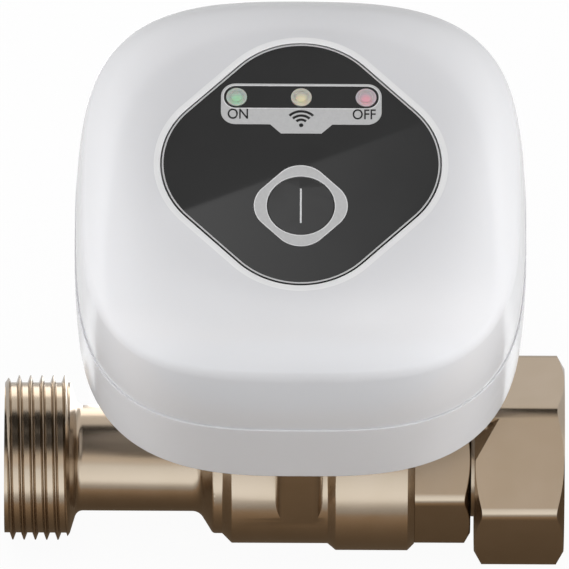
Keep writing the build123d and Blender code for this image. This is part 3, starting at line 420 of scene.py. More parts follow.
def rounded_square(angle, half, corner):
    """Distance to a square with round corners and level sides at an angle."""
    turn = angle % (math.pi / 2)
    turn = min(turn, math.pi / 2 - turn)
    if half * math.tan(turn) <= half - corner:
        return half / math.cos(turn)
    along = (half - corner) * (math.cos(turn) + math.sin(turn))
    return along + math.sqrt(along ** 2 - 2 * (half - corner) ** 2 + corner ** 2)


def wall_ring(z, inset=0.0, level=None):
    """A ring at a height, moved in by an inset, with the wall's outline at that or another level."""
    level = z if level is None else level
    if level >= SEAM_Z:
        share = (level - SEAM_Z) / (LIP_Z - SEAM_Z)
        half = SEAM_HALF - (SEAM_HALF - LIP_HALF) * share ** 2
        power = SEAM_POWER + (LIP_POWER - SEAM_POWER) * share
    else:
        share = (SEAM_Z - level) / (SEAM_Z - FLOOR_Z)
        half = SEAM_HALF - (SEAM_HALF - BOTTOM_HALF) * share ** 2
        power = SEAM_POWER + (BOTTOM_POWER - SEAM_POWER) * share
    return (lambda a: squircle(a, half - inset, power)), z


def diamond_ring(z, grow):
    """A ring of the panel's outline, made larger by a margin."""
    half, corner = PANEL_HALF + grow, PANEL_CORNER + grow
    return (lambda a: rounded_square(a + math.pi / 4, half, corner)), z


def dome_ring(share, inset=0.0):
    """A ring of the dome, from the panel's land at 0 to the lip at 1."""
    tall = RIM_Z - LIP_Z
    fall = sum(part * share ** power for power, part in DOME_FALL)
    steep = sum(power * part * share ** (power - 1) for power, part in DOME_FALL)
    slope = math.atan2(tall * steep, LIP_HALF - PANEL_HALF - LAND)
    inner, _ = diamond_ring(0, LAND)

    def reach(a):
        return inner(a) * (1 - share) + squircle(a, LIP_HALF, LIP_POWER) * share - inset * math.sin(slope)

    return reach, RIM_Z - tall * fall - inset * math.cos(slope)


def polar(reach, x=0.0, y=0.0, count=256):
    """Points of an outline from its distance formula."""
    angles = [2 * math.pi * k / count for k in range(count)]
    return [(x + reach(a) * math.cos(a), y + reach(a) * math.sin(a)) for a in angles]


def finished(shell, name):
    """Turn a shell's faces outward, make it a mesh and free it."""
    bmesh.ops.recalc_face_normals(shell, faces=shell.faces)
    mesh = bpy.data.meshes.new(name)
    shell.to_mesh(mesh)
    shell.free()
    return mesh


def closed_stack(name, outlines):
    """A closed shell through a loop of outlines, each its points and a height."""
    shell = bmesh.new()
    rows = [[shell.verts.new((x * MM, y * MM, z * MM)) for x, y in points] for points, z in outlines]
    for below, above in zip(rows, rows[1:] + rows[:1]):
        for k in range(len(below)):
            n = (k + 1) % len(below)
            shell.faces.new((below[k], below[n], above[n], above[k]))
    return finished(shell, name)


def ring_stack(name, rings):
    """A closed shell through a loop of rings, each a distance formula and a height."""
    return closed_stack(name, [(polar(reach, count=RING_STEPS), z) for reach, z in rings])


def steps(low, high, count):
    """Evenly spaced values, both ends included."""
    return [low + (high - low) * k / (count - 1) for k in range(count)]


# %% [markdown]
# The cover is one closed shell: up the outside wall from the seam, over the lip and the dome, across the
# flat land around the panel, down into the panel's pocket, and back down inside. The lip is a soft curve.
# At the seam the cover stands a little inside the base, so the base's edge catches light as a thin line.
# The land is given a brighter white, a painted highlight, so it has its own finish.
# %% Top cover
EDGE = 0.12
EDGE_SIDE = 0.3 * EDGE
STEP, TUCK, FOOT_RISE, WALL_RISE = 0.3, 0.05, 0.04, 0.3
SOFT_LIP, SOFT_SHARE, CURVE_SHARES = 1.1, 0.95, (0.08, 0.92)
DOME_NEAR_SHARE, DOME_LAST_SHARE, INNER_SHARE = 0.03, 0.012, 0.1


def curved_ring(low, corner, high, t):
    """A ring on the curve from one ring to another that a third ring pulls outward."""
    pulls = ((1 - t) ** 2, 2 * t * (1 - t), t ** 2)
    rings = (low, corner, high)
    z = sum(p * ring[1] for p, ring in zip(pulls, rings))
    return (lambda a: sum(p * ring[0](a) for p, ring in zip(pulls, rings))), z


def stepped_wall(z):
    """A ring of the cover's wall, which stands a little inside the base at the seam."""
    share = (z - SEAM_Z) / (LIP_Z - SEAM_Z)
    return wall_ring(z, STEP * (1 - share) ** 2)


foot, floor_of_pocket = SEAM_Z + JOIN, RIM_Z - PANEL_DEEP
outside = [wall_ring(foot, STEP + TUCK), stepped_wall(foot + FOOT_RISE)]
outside += [stepped_wall(z) for z in steps(foot + WALL_RISE, LIP_Z - SOFT_LIP, 14)]
lip = (outside[-1], wall_ring(LIP_Z), dome_ring(SOFT_SHARE))
outside += [curved_ring(*lip, t) for t in steps(*CURVE_SHARES, 10)]
outside += [dome_ring(s) for s in steps(SOFT_SHARE, DOME_NEAR_SHARE, 26)]
outside += [dome_ring(DOME_LAST_SHARE), dome_ring(0.0)]
land = [
    diamond_ring(RIM_Z, LAND - EDGE), diamond_ring(RIM_Z, PANEL_GAP + EDGE),
    diamond_ring(RIM_Z - EDGE_SIDE, PANEL_GAP + EDGE_SIDE), diamond_ring(RIM_Z - EDGE, PANEL_GAP)]
inside = [
    diamond_ring(floor_of_pocket, PANEL_GAP), diamond_ring(floor_of_pocket, -2 * WALL),
    diamond_ring(floor_of_pocket - WALL, -2 * WALL), diamond_ring(floor_of_pocket - WALL, LAND - EDGE)]
inside += [dome_ring(s, WALL) for s in steps(INNER_SHARE, 1.0, 12)]
inside += [wall_ring(z, WALL) for z in steps(LIP_Z - WALL, SEAM_Z + WALL, 5)]
inside += [wall_ring(SEAM_Z + WALL, WALL / 2), wall_ring(foot, WALL / 2)]
cover = new_piece("cover_shell", ring_stack("cover_shell", outside + land + inside))
set_finish(cover, white_abs)
# The land's faces take the brighter white, a painted highlight.
cover.data.materials.append(lit_land_white)
land_start = (len(outside) - 1) * RING_STEPS
for face in cover.data.polygons[land_start:land_start + len(land) * RING_STEPS]:
    face.material_index = 1
smooth(cover, SHELL_ANGLE)
settle(cover, "top_cover")
print("cover:", len(cover.data.polygons), "faces")

# %% [markdown]
# The base is a tray on a tapered square pedestal. It is a closed shell too, and its outside runs from the
# seam down, round the bottom edge, in to the pedestal and down to its foot. The four screw pockets and the
# power inlet's hole are cut with a boolean, because they cross the rings.
# %% Base shell
FOOT_Z = 26.8
FOOT_HALF, PEDESTAL_HALF, PEDESTAL_CORNER, PEDESTAL_WALL = 15.0, 22.0, 5.0, 2.4
TONGUE_Z = 71.65
BUSH_HOLE, SCREW_POCKET, POCKET_TOP, JACK_HOLE = 7.0, 2.85, 2.1, 4.4
BOTTOM_ROUND, FOOT_FILLET, FILLET_END, FOOT_EDGE, FOOT_BREAK = 0.7, 1.5, 2.5, 0.4, 0.1
FOOT_INSIDE, JACK_DEEP, OVERRUN = 2.0, 4.4, 2.0
SCREW_SHARE = 0.756


def pedestal_ring(z, inset=0.0, grow=0.0):
    """A ring of the pedestal at a height."""
    share = (z - FOOT_Z) / (FLOOR_Z - FOOT_Z)
    half = FOOT_HALF + (PEDESTAL_HALF - FOOT_HALF) * share - inset + grow
    return (lambda a: rounded_square(a, half, PEDESTAL_CORNER - inset + grow)), z


base_top = SEAM_Z - JOIN
rings = [wall_ring(base_top, WALL / 2), wall_ring(base_top, EDGE)]
rings += [wall_ring(base_top - EDGE_SIDE, EDGE_SIDE)]
rings += [wall_ring(z) for z in steps(base_top - EDGE, FLOOR_Z + BOTTOM_ROUND, 14)]
for turn in steps(15, 90, 6):
    round_in = BOTTOM_ROUND * (1 - math.cos(math.radians(turn)))
    round_up = BOTTOM_ROUND * (1 - math.sin(math.radians(turn)))
    rings.append(wall_ring(FLOOR_Z + round_up, round_in))
broad, narrow = wall_ring(FLOOR_Z, BOTTOM_ROUND)[0], pedestal_ring(FLOOR_Z, 0, FOOT_FILLET)[0]
for share in (0.25, 0.5, 0.75):
    rings.append(((lambda a, s=share: broad(a) * (1 - s) + narrow(a) * s), FLOOR_Z))
for turn in steps(0, 90, 6):
    out = FOOT_FILLET * (1 - math.sin(math.radians(turn)))
    down = FOOT_FILLET * (1 - math.cos(math.radians(turn)))
    rings.append(pedestal_ring(FLOOR_Z - down, 0, out))
rings += [pedestal_ring(z) for z in steps(FLOOR_Z - FILLET_END, FOOT_Z + FOOT_EDGE, 8)]
rings += [pedestal_ring(FOOT_Z + FOOT_BREAK, FOOT_BREAK), pedestal_ring(FOOT_Z, FOOT_EDGE)]
rings += [pedestal_ring(FOOT_Z, PEDESTAL_WALL)]
rings += [pedestal_ring(z, PEDESTAL_WALL) for z in steps(FOOT_Z + FOOT_INSIDE, FLOOR_Z, 5)]
rings += [((lambda a: BUSH_HOLE), FLOOR_Z), ((lambda a: BUSH_HOLE), FLOOR_Z + FLOOR)]
rings += [wall_ring(z, WALL) for z in steps(FLOOR_Z + FLOOR, TONGUE_Z, 6)]
rings += [wall_ring(TONGUE_Z, WALL / 2 + TUCK, base_top)]


def four_corners(place):
    """The corners of a square round the stem's axis."""
    return [(x * place, y * place) for x in (-1, 1) for y in (-1, 1)]


def cutter(radius, start, end):
    """A closed cylinder between two points, in millimetres, to cut with."""
    start, end = Vector(start) * MM, Vector(end) * MM
    tool = bmesh.new()
    bmesh.ops.create_cone(tool, cap_ends=True, segments=64, radius1=radius * MM, radius2=radius * MM,
                          depth=(end - start).length)
    turn = Vector((0, 0, 1)).rotation_difference(end - start).to_matrix()
    bmesh.ops.rotate(tool, matrix=turn, verts=tool.verts)
    bmesh.ops.translate(tool, vec=(start + end) / 2, verts=tool.verts)
    mesh = bpy.data.meshes.new("cutter")
    tool.to_mesh(mesh)
    tool.free()
    return new_piece("cutter", mesh)


def cut(piece, tools):
    """Subtract closed tools from a closed piece and remove them."""
    for tool in tools:
        hole = piece.modifiers.new("hole", "BOOLEAN")
        hole.operation = "DIFFERENCE"
        hole.solver = "EXACT"
        hole.object = tool
    make_real(piece)
    for tool in tools:
        bpy.data.objects.remove(tool)


base = new_piece("base_shell_smooth", ring_stack("base_shell_smooth", rings))
tools = [cutter(SCREW_POCKET, (x, y, FLOOR_Z - OVERRUN), (x, y, FLOOR_Z + POCKET_TOP))
         for x, y in four_corners(SCREW_SHARE * (SEAM_HALF - WALL))]
jack_low, jack_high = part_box("dc_jack")
jack_x = (jack_low.x + jack_high.x) / 2 / MM
jack_z = (jack_low.z + jack_high.z) / 2 / MM
jack_ends = [(jack_x, y, jack_z) for y in (SEAM_HALF - JACK_DEEP, SEAM_HALF + OVERRUN)]
tools.append(cutter(JACK_HOLE, *jack_ends))
cut(base, tools)
set_finish(base, white_abs)
smooth(base, SHELL_ANGLE)
settle(base, "base_shell")
print("base:", len(base.data.polygons), "faces")

# %% [markdown]
# The inlet has a real right-handed helix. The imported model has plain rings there, which a check can
# measure. Here the ridge is a grid wound round the pipe: each turn of the angle moves the grid along by one
# pitch, so the crest follows the grid's own lines and stays crisp. The ends are chamfered as a lathe leaves
# them. The body's own thread zone is cut away first.
# %% Inlet thread
THREAD_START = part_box("valve_body")[0].x / MM
PITCH, CREST_R, ROOT_R, BORE_R = 1.814, 13.22, 12.06, 6.25
LEAD, TURNS, RUN_OUT = 0.75, 5, 0.68
THREAD_END = THREAD_START + LEAD + TURNS * PITCH + RUN_OUT
HALF_CREST, HALF_FOOT, CREST_DROP = 0.05, 0.27, 0.06
HALF_SHARES = (0.39, HALF_FOOT, 0.16, HALF_CREST, 0.025)
FRONT_SLOPE, BACK_SLOPE = 1.35, 1.55
TURN_STEPS = 192
THREAD_JOIN, RIM_NEAR, OVERLAP = 0.001, 0.01, 0.02


def ridge(u):
    """Height of the ridge over the root at a share of the pitch: a narrow rounded crest, a flat root."""
    off = abs((u + 0.5) % 1.0 - 0.5)
    full = CREST_R - ROOT_R
    if off < HALF_CREST:
        return full - CREST_DROP * (off / HALF_CREST) ** 2
    if off < HALF_FOOT:
        return (full - CREST_DROP) * (1 - (off - HALF_CREST) / (HALF_FOOT - HALF_CREST))
    return 0.0


def thread_radius(x, u):
    """Radius at a place along the thread, limited by the chamfers at both ends."""
    front = ROOT_R + (x - THREAD_START) * FRONT_SLOPE
    back = ROOT_R + (THREAD_END - x) * BACK_SLOPE
    return min(ROOT_R + ridge(u), front, back)


def thread_mesh(name):
    """A closed ring of metal with a helical outside and a plain bore."""
    shell = bmesh.new()
    shares = [-0.5] + [-s for s in HALF_SHARES] + [0.0] + list(reversed(HALF_SHARES))
    stations = [turn + s for turn in range(-2, TURNS + 3) for s in shares]
    rows = []
    for u in stations:
        row = []
        for k in range(TURN_STEPS + 1):
            a = 2 * math.pi * k / TURN_STEPS
            x = THREAD_START + LEAD + (u + k / TURN_STEPS) * PITCH
            x = min(max(x, THREAD_START), THREAD_END)
            r = thread_radius(x, u)
            row.append(shell.verts.new((x * MM, -r * math.sin(a) * MM, r * math.cos(a) * MM)))
        rows.append(row)
    for low, high in zip(rows, rows[1:]):
        for k in range(TURN_STEPS):
            shell.faces.new((low[k], low[k + 1], high[k + 1], high[k]))
    bmesh.ops.remove_doubles(shell, verts=shell.verts, dist=THREAD_JOIN * MM)
    bmesh.ops.dissolve_degenerate(shell, edges=shell.edges, dist=THREAD_JOIN / 2 * MM)
    bmesh.ops.delete(shell, geom=[e for e in shell.edges if not e.link_faces], context="EDGES")
    open_edges = [e for e in shell.edges if len(e.link_faces) == 1]
    for x in (THREAD_START, THREAD_END):
        rim = [e for e in open_edges if all(abs(v.co.x - x * MM) < RIM_NEAR * MM for v in e.verts)]
        drawn = bmesh.ops.extrude_edge_only(shell, edges=rim)
        for v in (g for g in drawn["geom"] if isinstance(g, bmesh.types.BMVert)):
            reach = math.hypot(v.co.y, v.co.z)
            v.co.y *= BORE_R * MM / reach
            v.co.z *= BORE_R * MM / reach
    rims = [e for e in shell.edges if len(e.link_faces) == 1]
    bmesh.ops.bridge_loops(shell, edges=rims)
    print("thread faces:", len(shell.faces), "open edges:", sum(len(e.link_faces) != 2 for e in shell.edges))
    return finished(shell, name)


# %% [markdown]
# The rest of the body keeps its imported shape: the neck, the flare, the barrel, the stem tower and the
# flange. Its copy is cut off behind the thread and closed with a ring, and the thread overlaps it there by
# a fiftieth of a millimetre.
# %% Valve body
def body_mesh(name):
    """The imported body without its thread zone, joined with the helical thread."""
    shell = bmesh.new()
    shell.from_mesh(merged_mesh("body_source", "valve_body"))
    geometry = shell.verts[:] + shell.edges[:] + shell.faces[:]
    plane = ((THREAD_END - OVERLAP) * MM, 0, 0)
    bmesh.ops.bisect_plane(shell, geom=geometry, plane_co=plane, plane_no=(1, 0, 0), clear_inner=True)
    rims = [e for e in shell.edges if len(e.link_faces) == 1]
    bmesh.ops.bridge_loops(shell, edges=rims)
    shell.from_mesh(thread_mesh("thread"))
    mesh = bpy.data.meshes.new(name)
    shell.to_mesh(mesh)
    shell.free()
    return mesh


body = new_piece("body_casting", body_mesh("body_casting"))
set_finish(body, brass)
smooth(body)
settle(body, "valve_body")
print("body:", len(body.data.polygons), "faces")

# %% [markdown]
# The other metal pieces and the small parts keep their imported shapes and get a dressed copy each. The edges
# of the two hexagons were broken before the plating, so they get a fine bevel.
# %% Dressed copies
HEXAGON_BEVEL = 0.08
dress("end_cap", "end_piece", HEXAGON_BEVEL)
dress("union_nut", "nut_hexagon", HEXAGON_BEVEL)
PLAIN_COPIES = [
    "ball", "stem", "seat_ring_inlet", "seat_ring_outlet", "stem_thrust_washer", "stem_orings",
    "end_cap_oring", "nut_snap_ring", "union_gasket", "flange_gasket", "output_shaft", "shaft_bush_lower",
    "shaft_bush_upper", "idler_axle", "motor_pinion", "idler_gear", "output_gear", "position_cam",
    "gearbox_plate", "gear_motor", "indicator_leds", "main_board", "wireless_module", "board_parts",
    "tact_switch", "switch_plunger", "dc_jack", "jack_pin", "limit_switch_open", "limit_switch_closed",
    "housing_gasket"]
for node in PLAIN_COPIES:
    dress(node, node + "_smooth")
print("dressed", len(PLAIN_COPIES) + 2, "nodes")

# %% [markdown]
# A screw repeats, so Geometry Nodes make it: a head and a shank from cylinders, set on points at the
# screws' own places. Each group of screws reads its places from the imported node's box. The tree ends in
# real geometry with its finish set, and becomes a plain mesh for its node's body. A screw's sizes are the
# radius and height of its head and the radius of its shank, and a slot is cut across the head.
# %% Screws by Geometry Nodes
def new_group(name, *numbers):
    """A node group that takes a mesh, some numbers and a finish, and the sockets that give them."""
    tree = bpy.data.node_groups.new(name, "GeometryNodeTree")
    tree.interface.new_socket("Geometry", in_out="INPUT", socket_type="NodeSocketGeometry")
    for label in numbers:
        tree.interface.new_socket(label, in_out="INPUT", socket_type="NodeSocketFloat")
    tree.interface.new_socket("Finish", in_out="INPUT", socket_type="NodeSocketMaterial")
    tree.interface.new_socket("Geometry", in_out="OUTPUT", socket_type="NodeSocketGeometry")
    return tree, add(tree, "NodeGroupInput").outputs


def end_group(tree, shape, finish):
    """End a node group in real geometry with its finish set."""
    real = add(tree, "GeometryNodeRealizeInstances", {"Geometry": shape})
    coated = add(tree, "GeometryNodeSetMaterial", {"Geometry": real.outputs[0], "Material": finish})
    add(tree, "NodeGroupOutput", {0: coated.outputs[0]})
    return tree


def screw_tree():
    """A node group that stands a screw on every point of its input mesh."""
    tree, given = new_group("screws", "Head Radius", "Head Height", "Shank Radius", "Shank Length", "Way")
    inputs = {"Vertices": 48, "Radius": given["Head Radius"], "Depth": given["Head Height"]}
    head = add(tree, "GeometryNodeMeshCylinder", inputs)
    inputs = {"Vertices": 32, "Radius": given["Shank Radius"], "Depth": given["Shank Length"]}
    shank = add(tree, "GeometryNodeMeshCylinder", inputs)
    half_head = add(tree, "ShaderNodeMath", {0: given["Head Height"], 1: 0.5}, operation="MULTIPLY")
    half_shank = add(tree, "ShaderNodeMath", {0: given["Shank Length"], 1: 0.5}, operation="MULTIPLY")
    reach = add(tree, "ShaderNodeMath", {0: given["Head Height"], 1: half_shank.outputs[0]}, operation="ADD")
    whole = add(tree, "GeometryNodeJoinGeometry")
    for shape, middle in ((head, half_head), (shank, reach)):
        signed = add(tree, "ShaderNodeMath", {0: middle.outputs[0], 1: given["Way"]}, operation="MULTIPLY")
        rise = add(tree, "ShaderNodeCombineXYZ", {"Z": signed.outputs[0]})
        inputs = {"Geometry": shape.outputs["Mesh"], "Translation": rise.outputs[0]}
        moved = add(tree, "GeometryNodeTransform", inputs)
        tree.links.new(moved.outputs[0], whole.inputs[0])
    inputs = {"Points": given["Geometry"], "Instance": whole.outputs[0]}
    copies = add(tree, "GeometryNodeInstanceOnPoints", inputs)
    return end_group(tree, copies.outputs[0], given["Finish"])


def grow(piece, tree, values):
    """Run a node group on a piece with values for its inputs, and make the result real."""
    modifier = piece.modifiers.new(tree.name, "NODES")
    modifier.node_group = tree
    for item in tree.interface.items_tree:
        if item.in_out == "INPUT" and item.name in values:
            modifier[item.identifier] = values[item.name]
    return make_real(piece)


SCREWS = screw_tree()
CASE_SCREW, BOARD_SCREW, SLOT_R = (2.6, 2.2, 1.45), (2.0, 1.4, 1.1), 0.32


def place_screws(node, name, places, seat_z, tip_z, sizes):
    """Run the screw tree on a few points, cut the slots and stand the result for a node."""
    head_radius, head_height, shank_radius = sizes
    points = bpy.data.meshes.new(name)
    points.from_pydata([(x * MM, y * MM, seat_z * MM) for x, y in places], [], [])
    holder = new_piece(name, points)
    grow(holder, SCREWS, {
        "Head Radius": head_radius * MM, "Head Height": head_height * MM, "Shank Radius": shank_radius * MM,
        "Shank Length": (abs(tip_z - seat_z) - head_height) * MM, "Way": 1.0 if tip_z > seat_z else -1.0,
        "Finish": zinc_steel})
    ends = [[(x + way * head_radius, y, seat_z) for way in (-1, 1)] for x, y in places]
    cut(holder, [cutter(SLOT_R, *pair) for pair in ends])
    smooth(holder)
    settle(holder, node)
    print(name, "screws:", len(places))


for node in ("flange_screws", "case_screws", "board_screws"):
    sizes = BOARD_SCREW if node == "board_screws" else CASE_SCREW
    low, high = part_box(node)
    places = four_corners(high.x / MM - sizes[0])
    place_screws(node, node + "_made", places, low.z / MM, high.z / MM, sizes)

# %% [markdown]
# The panel, its button and the printed plates are flat pieces with fine edges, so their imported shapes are
# dressed, and the panel and the button get a small bevel that catches the light. The line on the button is
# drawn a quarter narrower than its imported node, as it looks in the picture.
# %% Panel pieces
PANEL_BEVEL, BUTTON_BEVEL, MARK_SHARE = 0.06, 0.05, 0.75
dress("front_panel", "panel_plate", PANEL_BEVEL)
dress("power_button", "button_cap", BUTTON_BEVEL)
mark = dress("button_mark", "button_line")
for v in mark.data.vertices:
    v.co.x *= MARK_SHARE
dress("legend_plate", "legend_print")
dress("button_ring", "button_surround")
for label in ("on", "wireless", "off"):
    dress("lens_" + label, "cover_" + label)
print("dressed the panel, the button, the plates and the lamp covers")

# %% [markdown]
# Thin flat bands lie on top of the plates: pale outlines along the edges of the grey plates, which are
# painted highlights on those edges, and a grey line along the edge of the panel, a painted highlight on its
# bevelled rim. An outline is a band between an edge and the same edge moved in, made from the formulas of
# those edges.
# %% Painted edge highlights
PRINT, TOP = 0.03, RIM_Z
BUTTON_Y, BUTTON_R, BUTTON_GAP = -7.69, 5.27, 0.08
RING_HALF, RING_CORNER = 6.56, 4.54
WINDOW_HALF, WINDOW_LOW, WINDOW_HIGH, WINDOW_CORNER = 12.2, 10.2, 14.22, 1.9
LINE, PANEL_LINE = 0.16, (0.05, 0.3)
root = body_of_node["front_panel"]


def band(name, outer, inner):
    """A flat closed band between two outlines given as lists of points."""
    return closed_stack(name, [(outer, TOP), (outer, TOP + PRINT), (inner, TOP + PRINT), (inner, TOP)])


def lay_on(piece, material):
    """Give a flat piece its finish and the housing's body."""
    set_finish(piece, material)
    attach(piece, root)


def lay_band(name, outer, inner, material):
    """Lay a flat band between two outlines, for print and for painted highlights."""
    lay_on(new_piece(name, band(name, outer, inner)), material)


def surround(inset):
    """Points of the button surround's edge, moved in by an inset."""
    half, corner = RING_HALF - inset, RING_CORNER - inset
    return polar(lambda a: rounded_square(a + math.pi / 4, half, corner), 0, BUTTON_Y)


def window(margin):
    """Points of the window's edge, a bar with round corners, made larger by a margin."""
    corner = WINDOW_CORNER + margin
    side, high = WINDOW_HALF + margin - corner, WINDOW_HIGH + margin - corner
    low = WINDOW_LOW - margin + corner
    points = []
    for x, y, start in ((side, high, 0), (-side, high, 90), (-side, low, 180), (side, low, 270)):
        for turn in steps(start, start + 90, 25):
            a = math.radians(turn)
            points.append((x + corner * math.cos(a), y + corner * math.sin(a)))
    return points


hole_in, hole_out = [polar(lambda a: BUTTON_R + BUTTON_GAP + wide, 0, BUTTON_Y) for wide in (0, LINE)]
edge_out, edge_in = [polar(diamond_ring(TOP, -inset)[0]) for inset in PANEL_LINE]
# These pale bands are painted highlights along the edges of the grey plates and the button's hole.
lay_band("surround_outline", surround(0), surround(LINE), mark_ink_and_edge_highlight)
lay_band("surround_inline", hole_out, hole_in, mark_ink_and_edge_highlight)
# The grey line along the panel's edge is a painted highlight on its bevelled rim.
lay_band("panel_edge_line", edge_out, edge_in, grey_ink_and_edge_highlight)
lay_band("window_outline", window(LINE), window(0), mark_ink_and_edge_highlight)
print("painted edge highlights: 4")

# %% [markdown]
# The legend says ON and OFF, and between them stands the plain sign for a wireless link: a dot under
# three arcs. The words are text made into a mesh. The arcs follow one rule, so Geometry Nodes draw them:
# an arc curve for each radius, given a flat width. The dot is a band round a pinhole.
# %% Words and wireless sign
NARROW, CAP_HEIGHT, SIZE_OF_CAP, BOLD = 0.82, 1.82, 1.43, 0.02
WORD_Y, ON_X, OFF_X = 9.0, -9.96, 9.9


def word(name, text, x):
    """Print letters as a thin flat mesh, centred on a place."""
    curve = bpy.data.curves.new(name, "FONT")
    curve.body = text
    curve.align_x = curve.align_y = "CENTER"
    curve.size = CAP_HEIGHT * SIZE_OF_CAP * MM
    curve.extrude = PRINT / 2 * MM
    curve.offset = BOLD * MM
    holder = new_piece(name, curve)
    mesh = bpy.data.meshes.new_from_object(holder.evaluated_get(bpy.context.evaluated_depsgraph_get()))
    bpy.data.objects.remove(holder)
    for v in mesh.vertices:
        v.co.x *= NARROW
        v.co += Vector((x * MM, WORD_Y * MM, (TOP + PRINT / 2) * MM))
    lay_on(new_piece(name, mesh), dark_ink)


word("word_on", "ON", ON_X)
word("word_off", "OFF", OFF_X)


def arc_tree():
    """A node group that draws one flat arc, centred on +Y."""
    tree, given = new_group("signal arc", "Radius", "Half Width", "Opening", "Thickness")
    half = add(tree, "ShaderNodeMath", {0: given["Opening"], 1: 0.5}, operation="MULTIPLY")
    start = add(tree, "ShaderNodeMath", {0: math.pi / 2, 1: half.outputs[0]}, operation="SUBTRACT")
    inputs = {"Resolution": 40, "Radius": given["Radius"], "Start Angle": start.outputs[0],
              "Sweep Angle": given["Opening"]}
    arc = add(tree, "GeometryNodeCurveArc", inputs)
    wide = add(tree, "ShaderNodeMath", {0: given["Half Width"], 1: 2.0}, operation="MULTIPLY")
    inputs = {"Width": wide.outputs[0], "Height": given["Thickness"]}
    section = add(tree, "GeometryNodeCurvePrimitiveQuadrilateral", inputs)
    inputs = {"Curve": arc.outputs[0], "Profile Curve": section.outputs[0], "Fill Caps": True}
    swept = add(tree, "GeometryNodeCurveToMesh", inputs)
    return end_group(tree, swept.outputs[0], given["Finish"])


ARC = arc_tree()
SIGN_Y, DOT_R, PINHOLE_SHARE = 7.05, 0.34, 0.02
ARC_RADII, ARC_HALF_WIDTH, ARC_OPENING = (1.02, 1.78, 2.55), 0.21, math.radians(94)
for index, radius in enumerate(ARC_RADII):
    name = f"wireless_arc_{index + 1}"
    arc = grow(new_piece(name, bpy.data.meshes.new(name)), ARC, {
        "Radius": radius * MM, "Half Width": ARC_HALF_WIDTH * MM, "Opening": ARC_OPENING,
        "Thickness": PRINT * MM, "Finish": dark_ink})
    for v in arc.data.vertices:
        v.co += Vector((0, SIGN_Y * MM, (TOP + PRINT / 2) * MM))
    lay_on(arc, dark_ink)
dot_out, dot_in = [polar(lambda a: DOT_R * share, 0, SIGN_Y, 48) for share in (1, PINHOLE_SHARE)]
lay_band("wireless_dot", dot_out, dot_in, dark_ink)
print("sign arcs:", len(ARC_RADII))

# %% [markdown]
# On each lamp cover lies a thin round rim, which gives the cover its inner ring. It is a band between two
# circles, a little above the level of the print.
# %% Lamp rims
LAMP_RIM_R, LAMP_RIM_WIDTH, LAMP_RIM_RISE = 1.08, 0.1, 0.12
for label, x in (("on", -LAMP_X), ("wireless", 0.0), ("off", LAMP_X)):
    name = "lamp_rim_" + label
    rim_out, rim_in = [polar(lambda a: r, x, LAMP_Y, 64) for r in (LAMP_RIM_R, LAMP_RIM_R - LAMP_RIM_WIDTH)]
    rim = new_piece(name, band(name, rim_out, rim_in))
    for v in rim.data.vertices:
        v.co.z += LAMP_RIM_RISE * MM
    lay_on(rim, clear_led)
print("lamp rims: 3")

# %% [markdown]
# The valve lies on a white floor in white surroundings. Both look white to the camera and in reflections.
# For all other light the floor is painted a mid grey, so that little of it comes back from below, and the
# sky is dim and even. A fifth of the paint's own light is left in the picture, so that it holds a shadow.
# Lengths of the floor, the cards and the lamps are in metres.
# %% Floor and surroundings
FLOOR_SIZE, FLOOR_GAP = 6.0, 0.02 * MM
FLOOR_GLOW, SKY_STRENGTH, SHADOW_SHARE = 1.18, 0.345, 0.2


def flat(x, y, z):
    """Corners of a level face from its sides and height."""
    return [(x[0], y[0], z), (x[1], y[0], z), (x[1], y[1], z), (x[0], y[1], z)]


def stage_face(name, corners):
    """A piece of the stage with one four-sided face."""
    mesh = bpy.data.meshes.new(name)
    mesh.from_pydata(corners, [], [(0, 1, 2, 3)])
    piece = new_piece(name, mesh)
    return piece


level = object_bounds()[0].z - FLOOR_GAP
sides = (-FLOOR_SIZE / 2, FLOOR_SIZE / 2)
floor = stage_face("floor", flat(sides, sides, level))
floor_paint, tree, shader = new_finish("pale floor", "8c8c8c", 0.8)


def seen_directly(tree):
    """One where a ray comes from the camera, a reflection or clear plastic, and zero elsewhere."""
    path = add(tree, "ShaderNodeLightPath")
    inputs = {0: path.outputs["Is Camera Ray"], 1: path.outputs["Is Glossy Ray"]}
    first = add(tree, "ShaderNodeMath", inputs, operation="MAXIMUM")
    inputs = {0: first.outputs[0], 1: path.outputs["Is Transmission Ray"]}
    return add(tree, "ShaderNodeMath", inputs, operation="MAXIMUM")


glow = add(tree, "ShaderNodeEmission", {"Color": (1, 1, 1, 1), "Strength": FLOOR_GLOW})
inputs = {0: seen_directly(tree).outputs[0], 1: 1 - SHADOW_SHARE}
part = add(tree, "ShaderNodeMath", inputs, operation="MULTIPLY")
mix = add(tree, "ShaderNodeMixShader", {0: part.outputs[0], 1: shader.outputs[0], 2: glow.outputs[0]})
end = [n for n in tree.nodes if n.type == "OUTPUT_MATERIAL"][0]
tree.links.new(mix.outputs[0], end.inputs["Surface"])
set_finish(floor, floor_paint)

world = bpy.data.worlds.new("studio")
bpy.context.scene.world = world
tree = empty_tree(world)
soft = add(tree, "ShaderNodeBackground", {"Color": to_linear("eeeef0"), "Strength": SKY_STRENGTH})
white = add(tree, "ShaderNodeBackground", {"Color": (1, 1, 1, 1), "Strength": 1.0})
inputs = {0: seen_directly(tree).outputs[0], 1: soft.outputs[0], 2: white.outputs[0]}
mix = add(tree, "ShaderNodeMixShader", inputs)
add(tree, "ShaderNodeOutputWorld", {"Surface": mix.outputs[0]})
print("floor at", round(level / MM, 2), "mm")

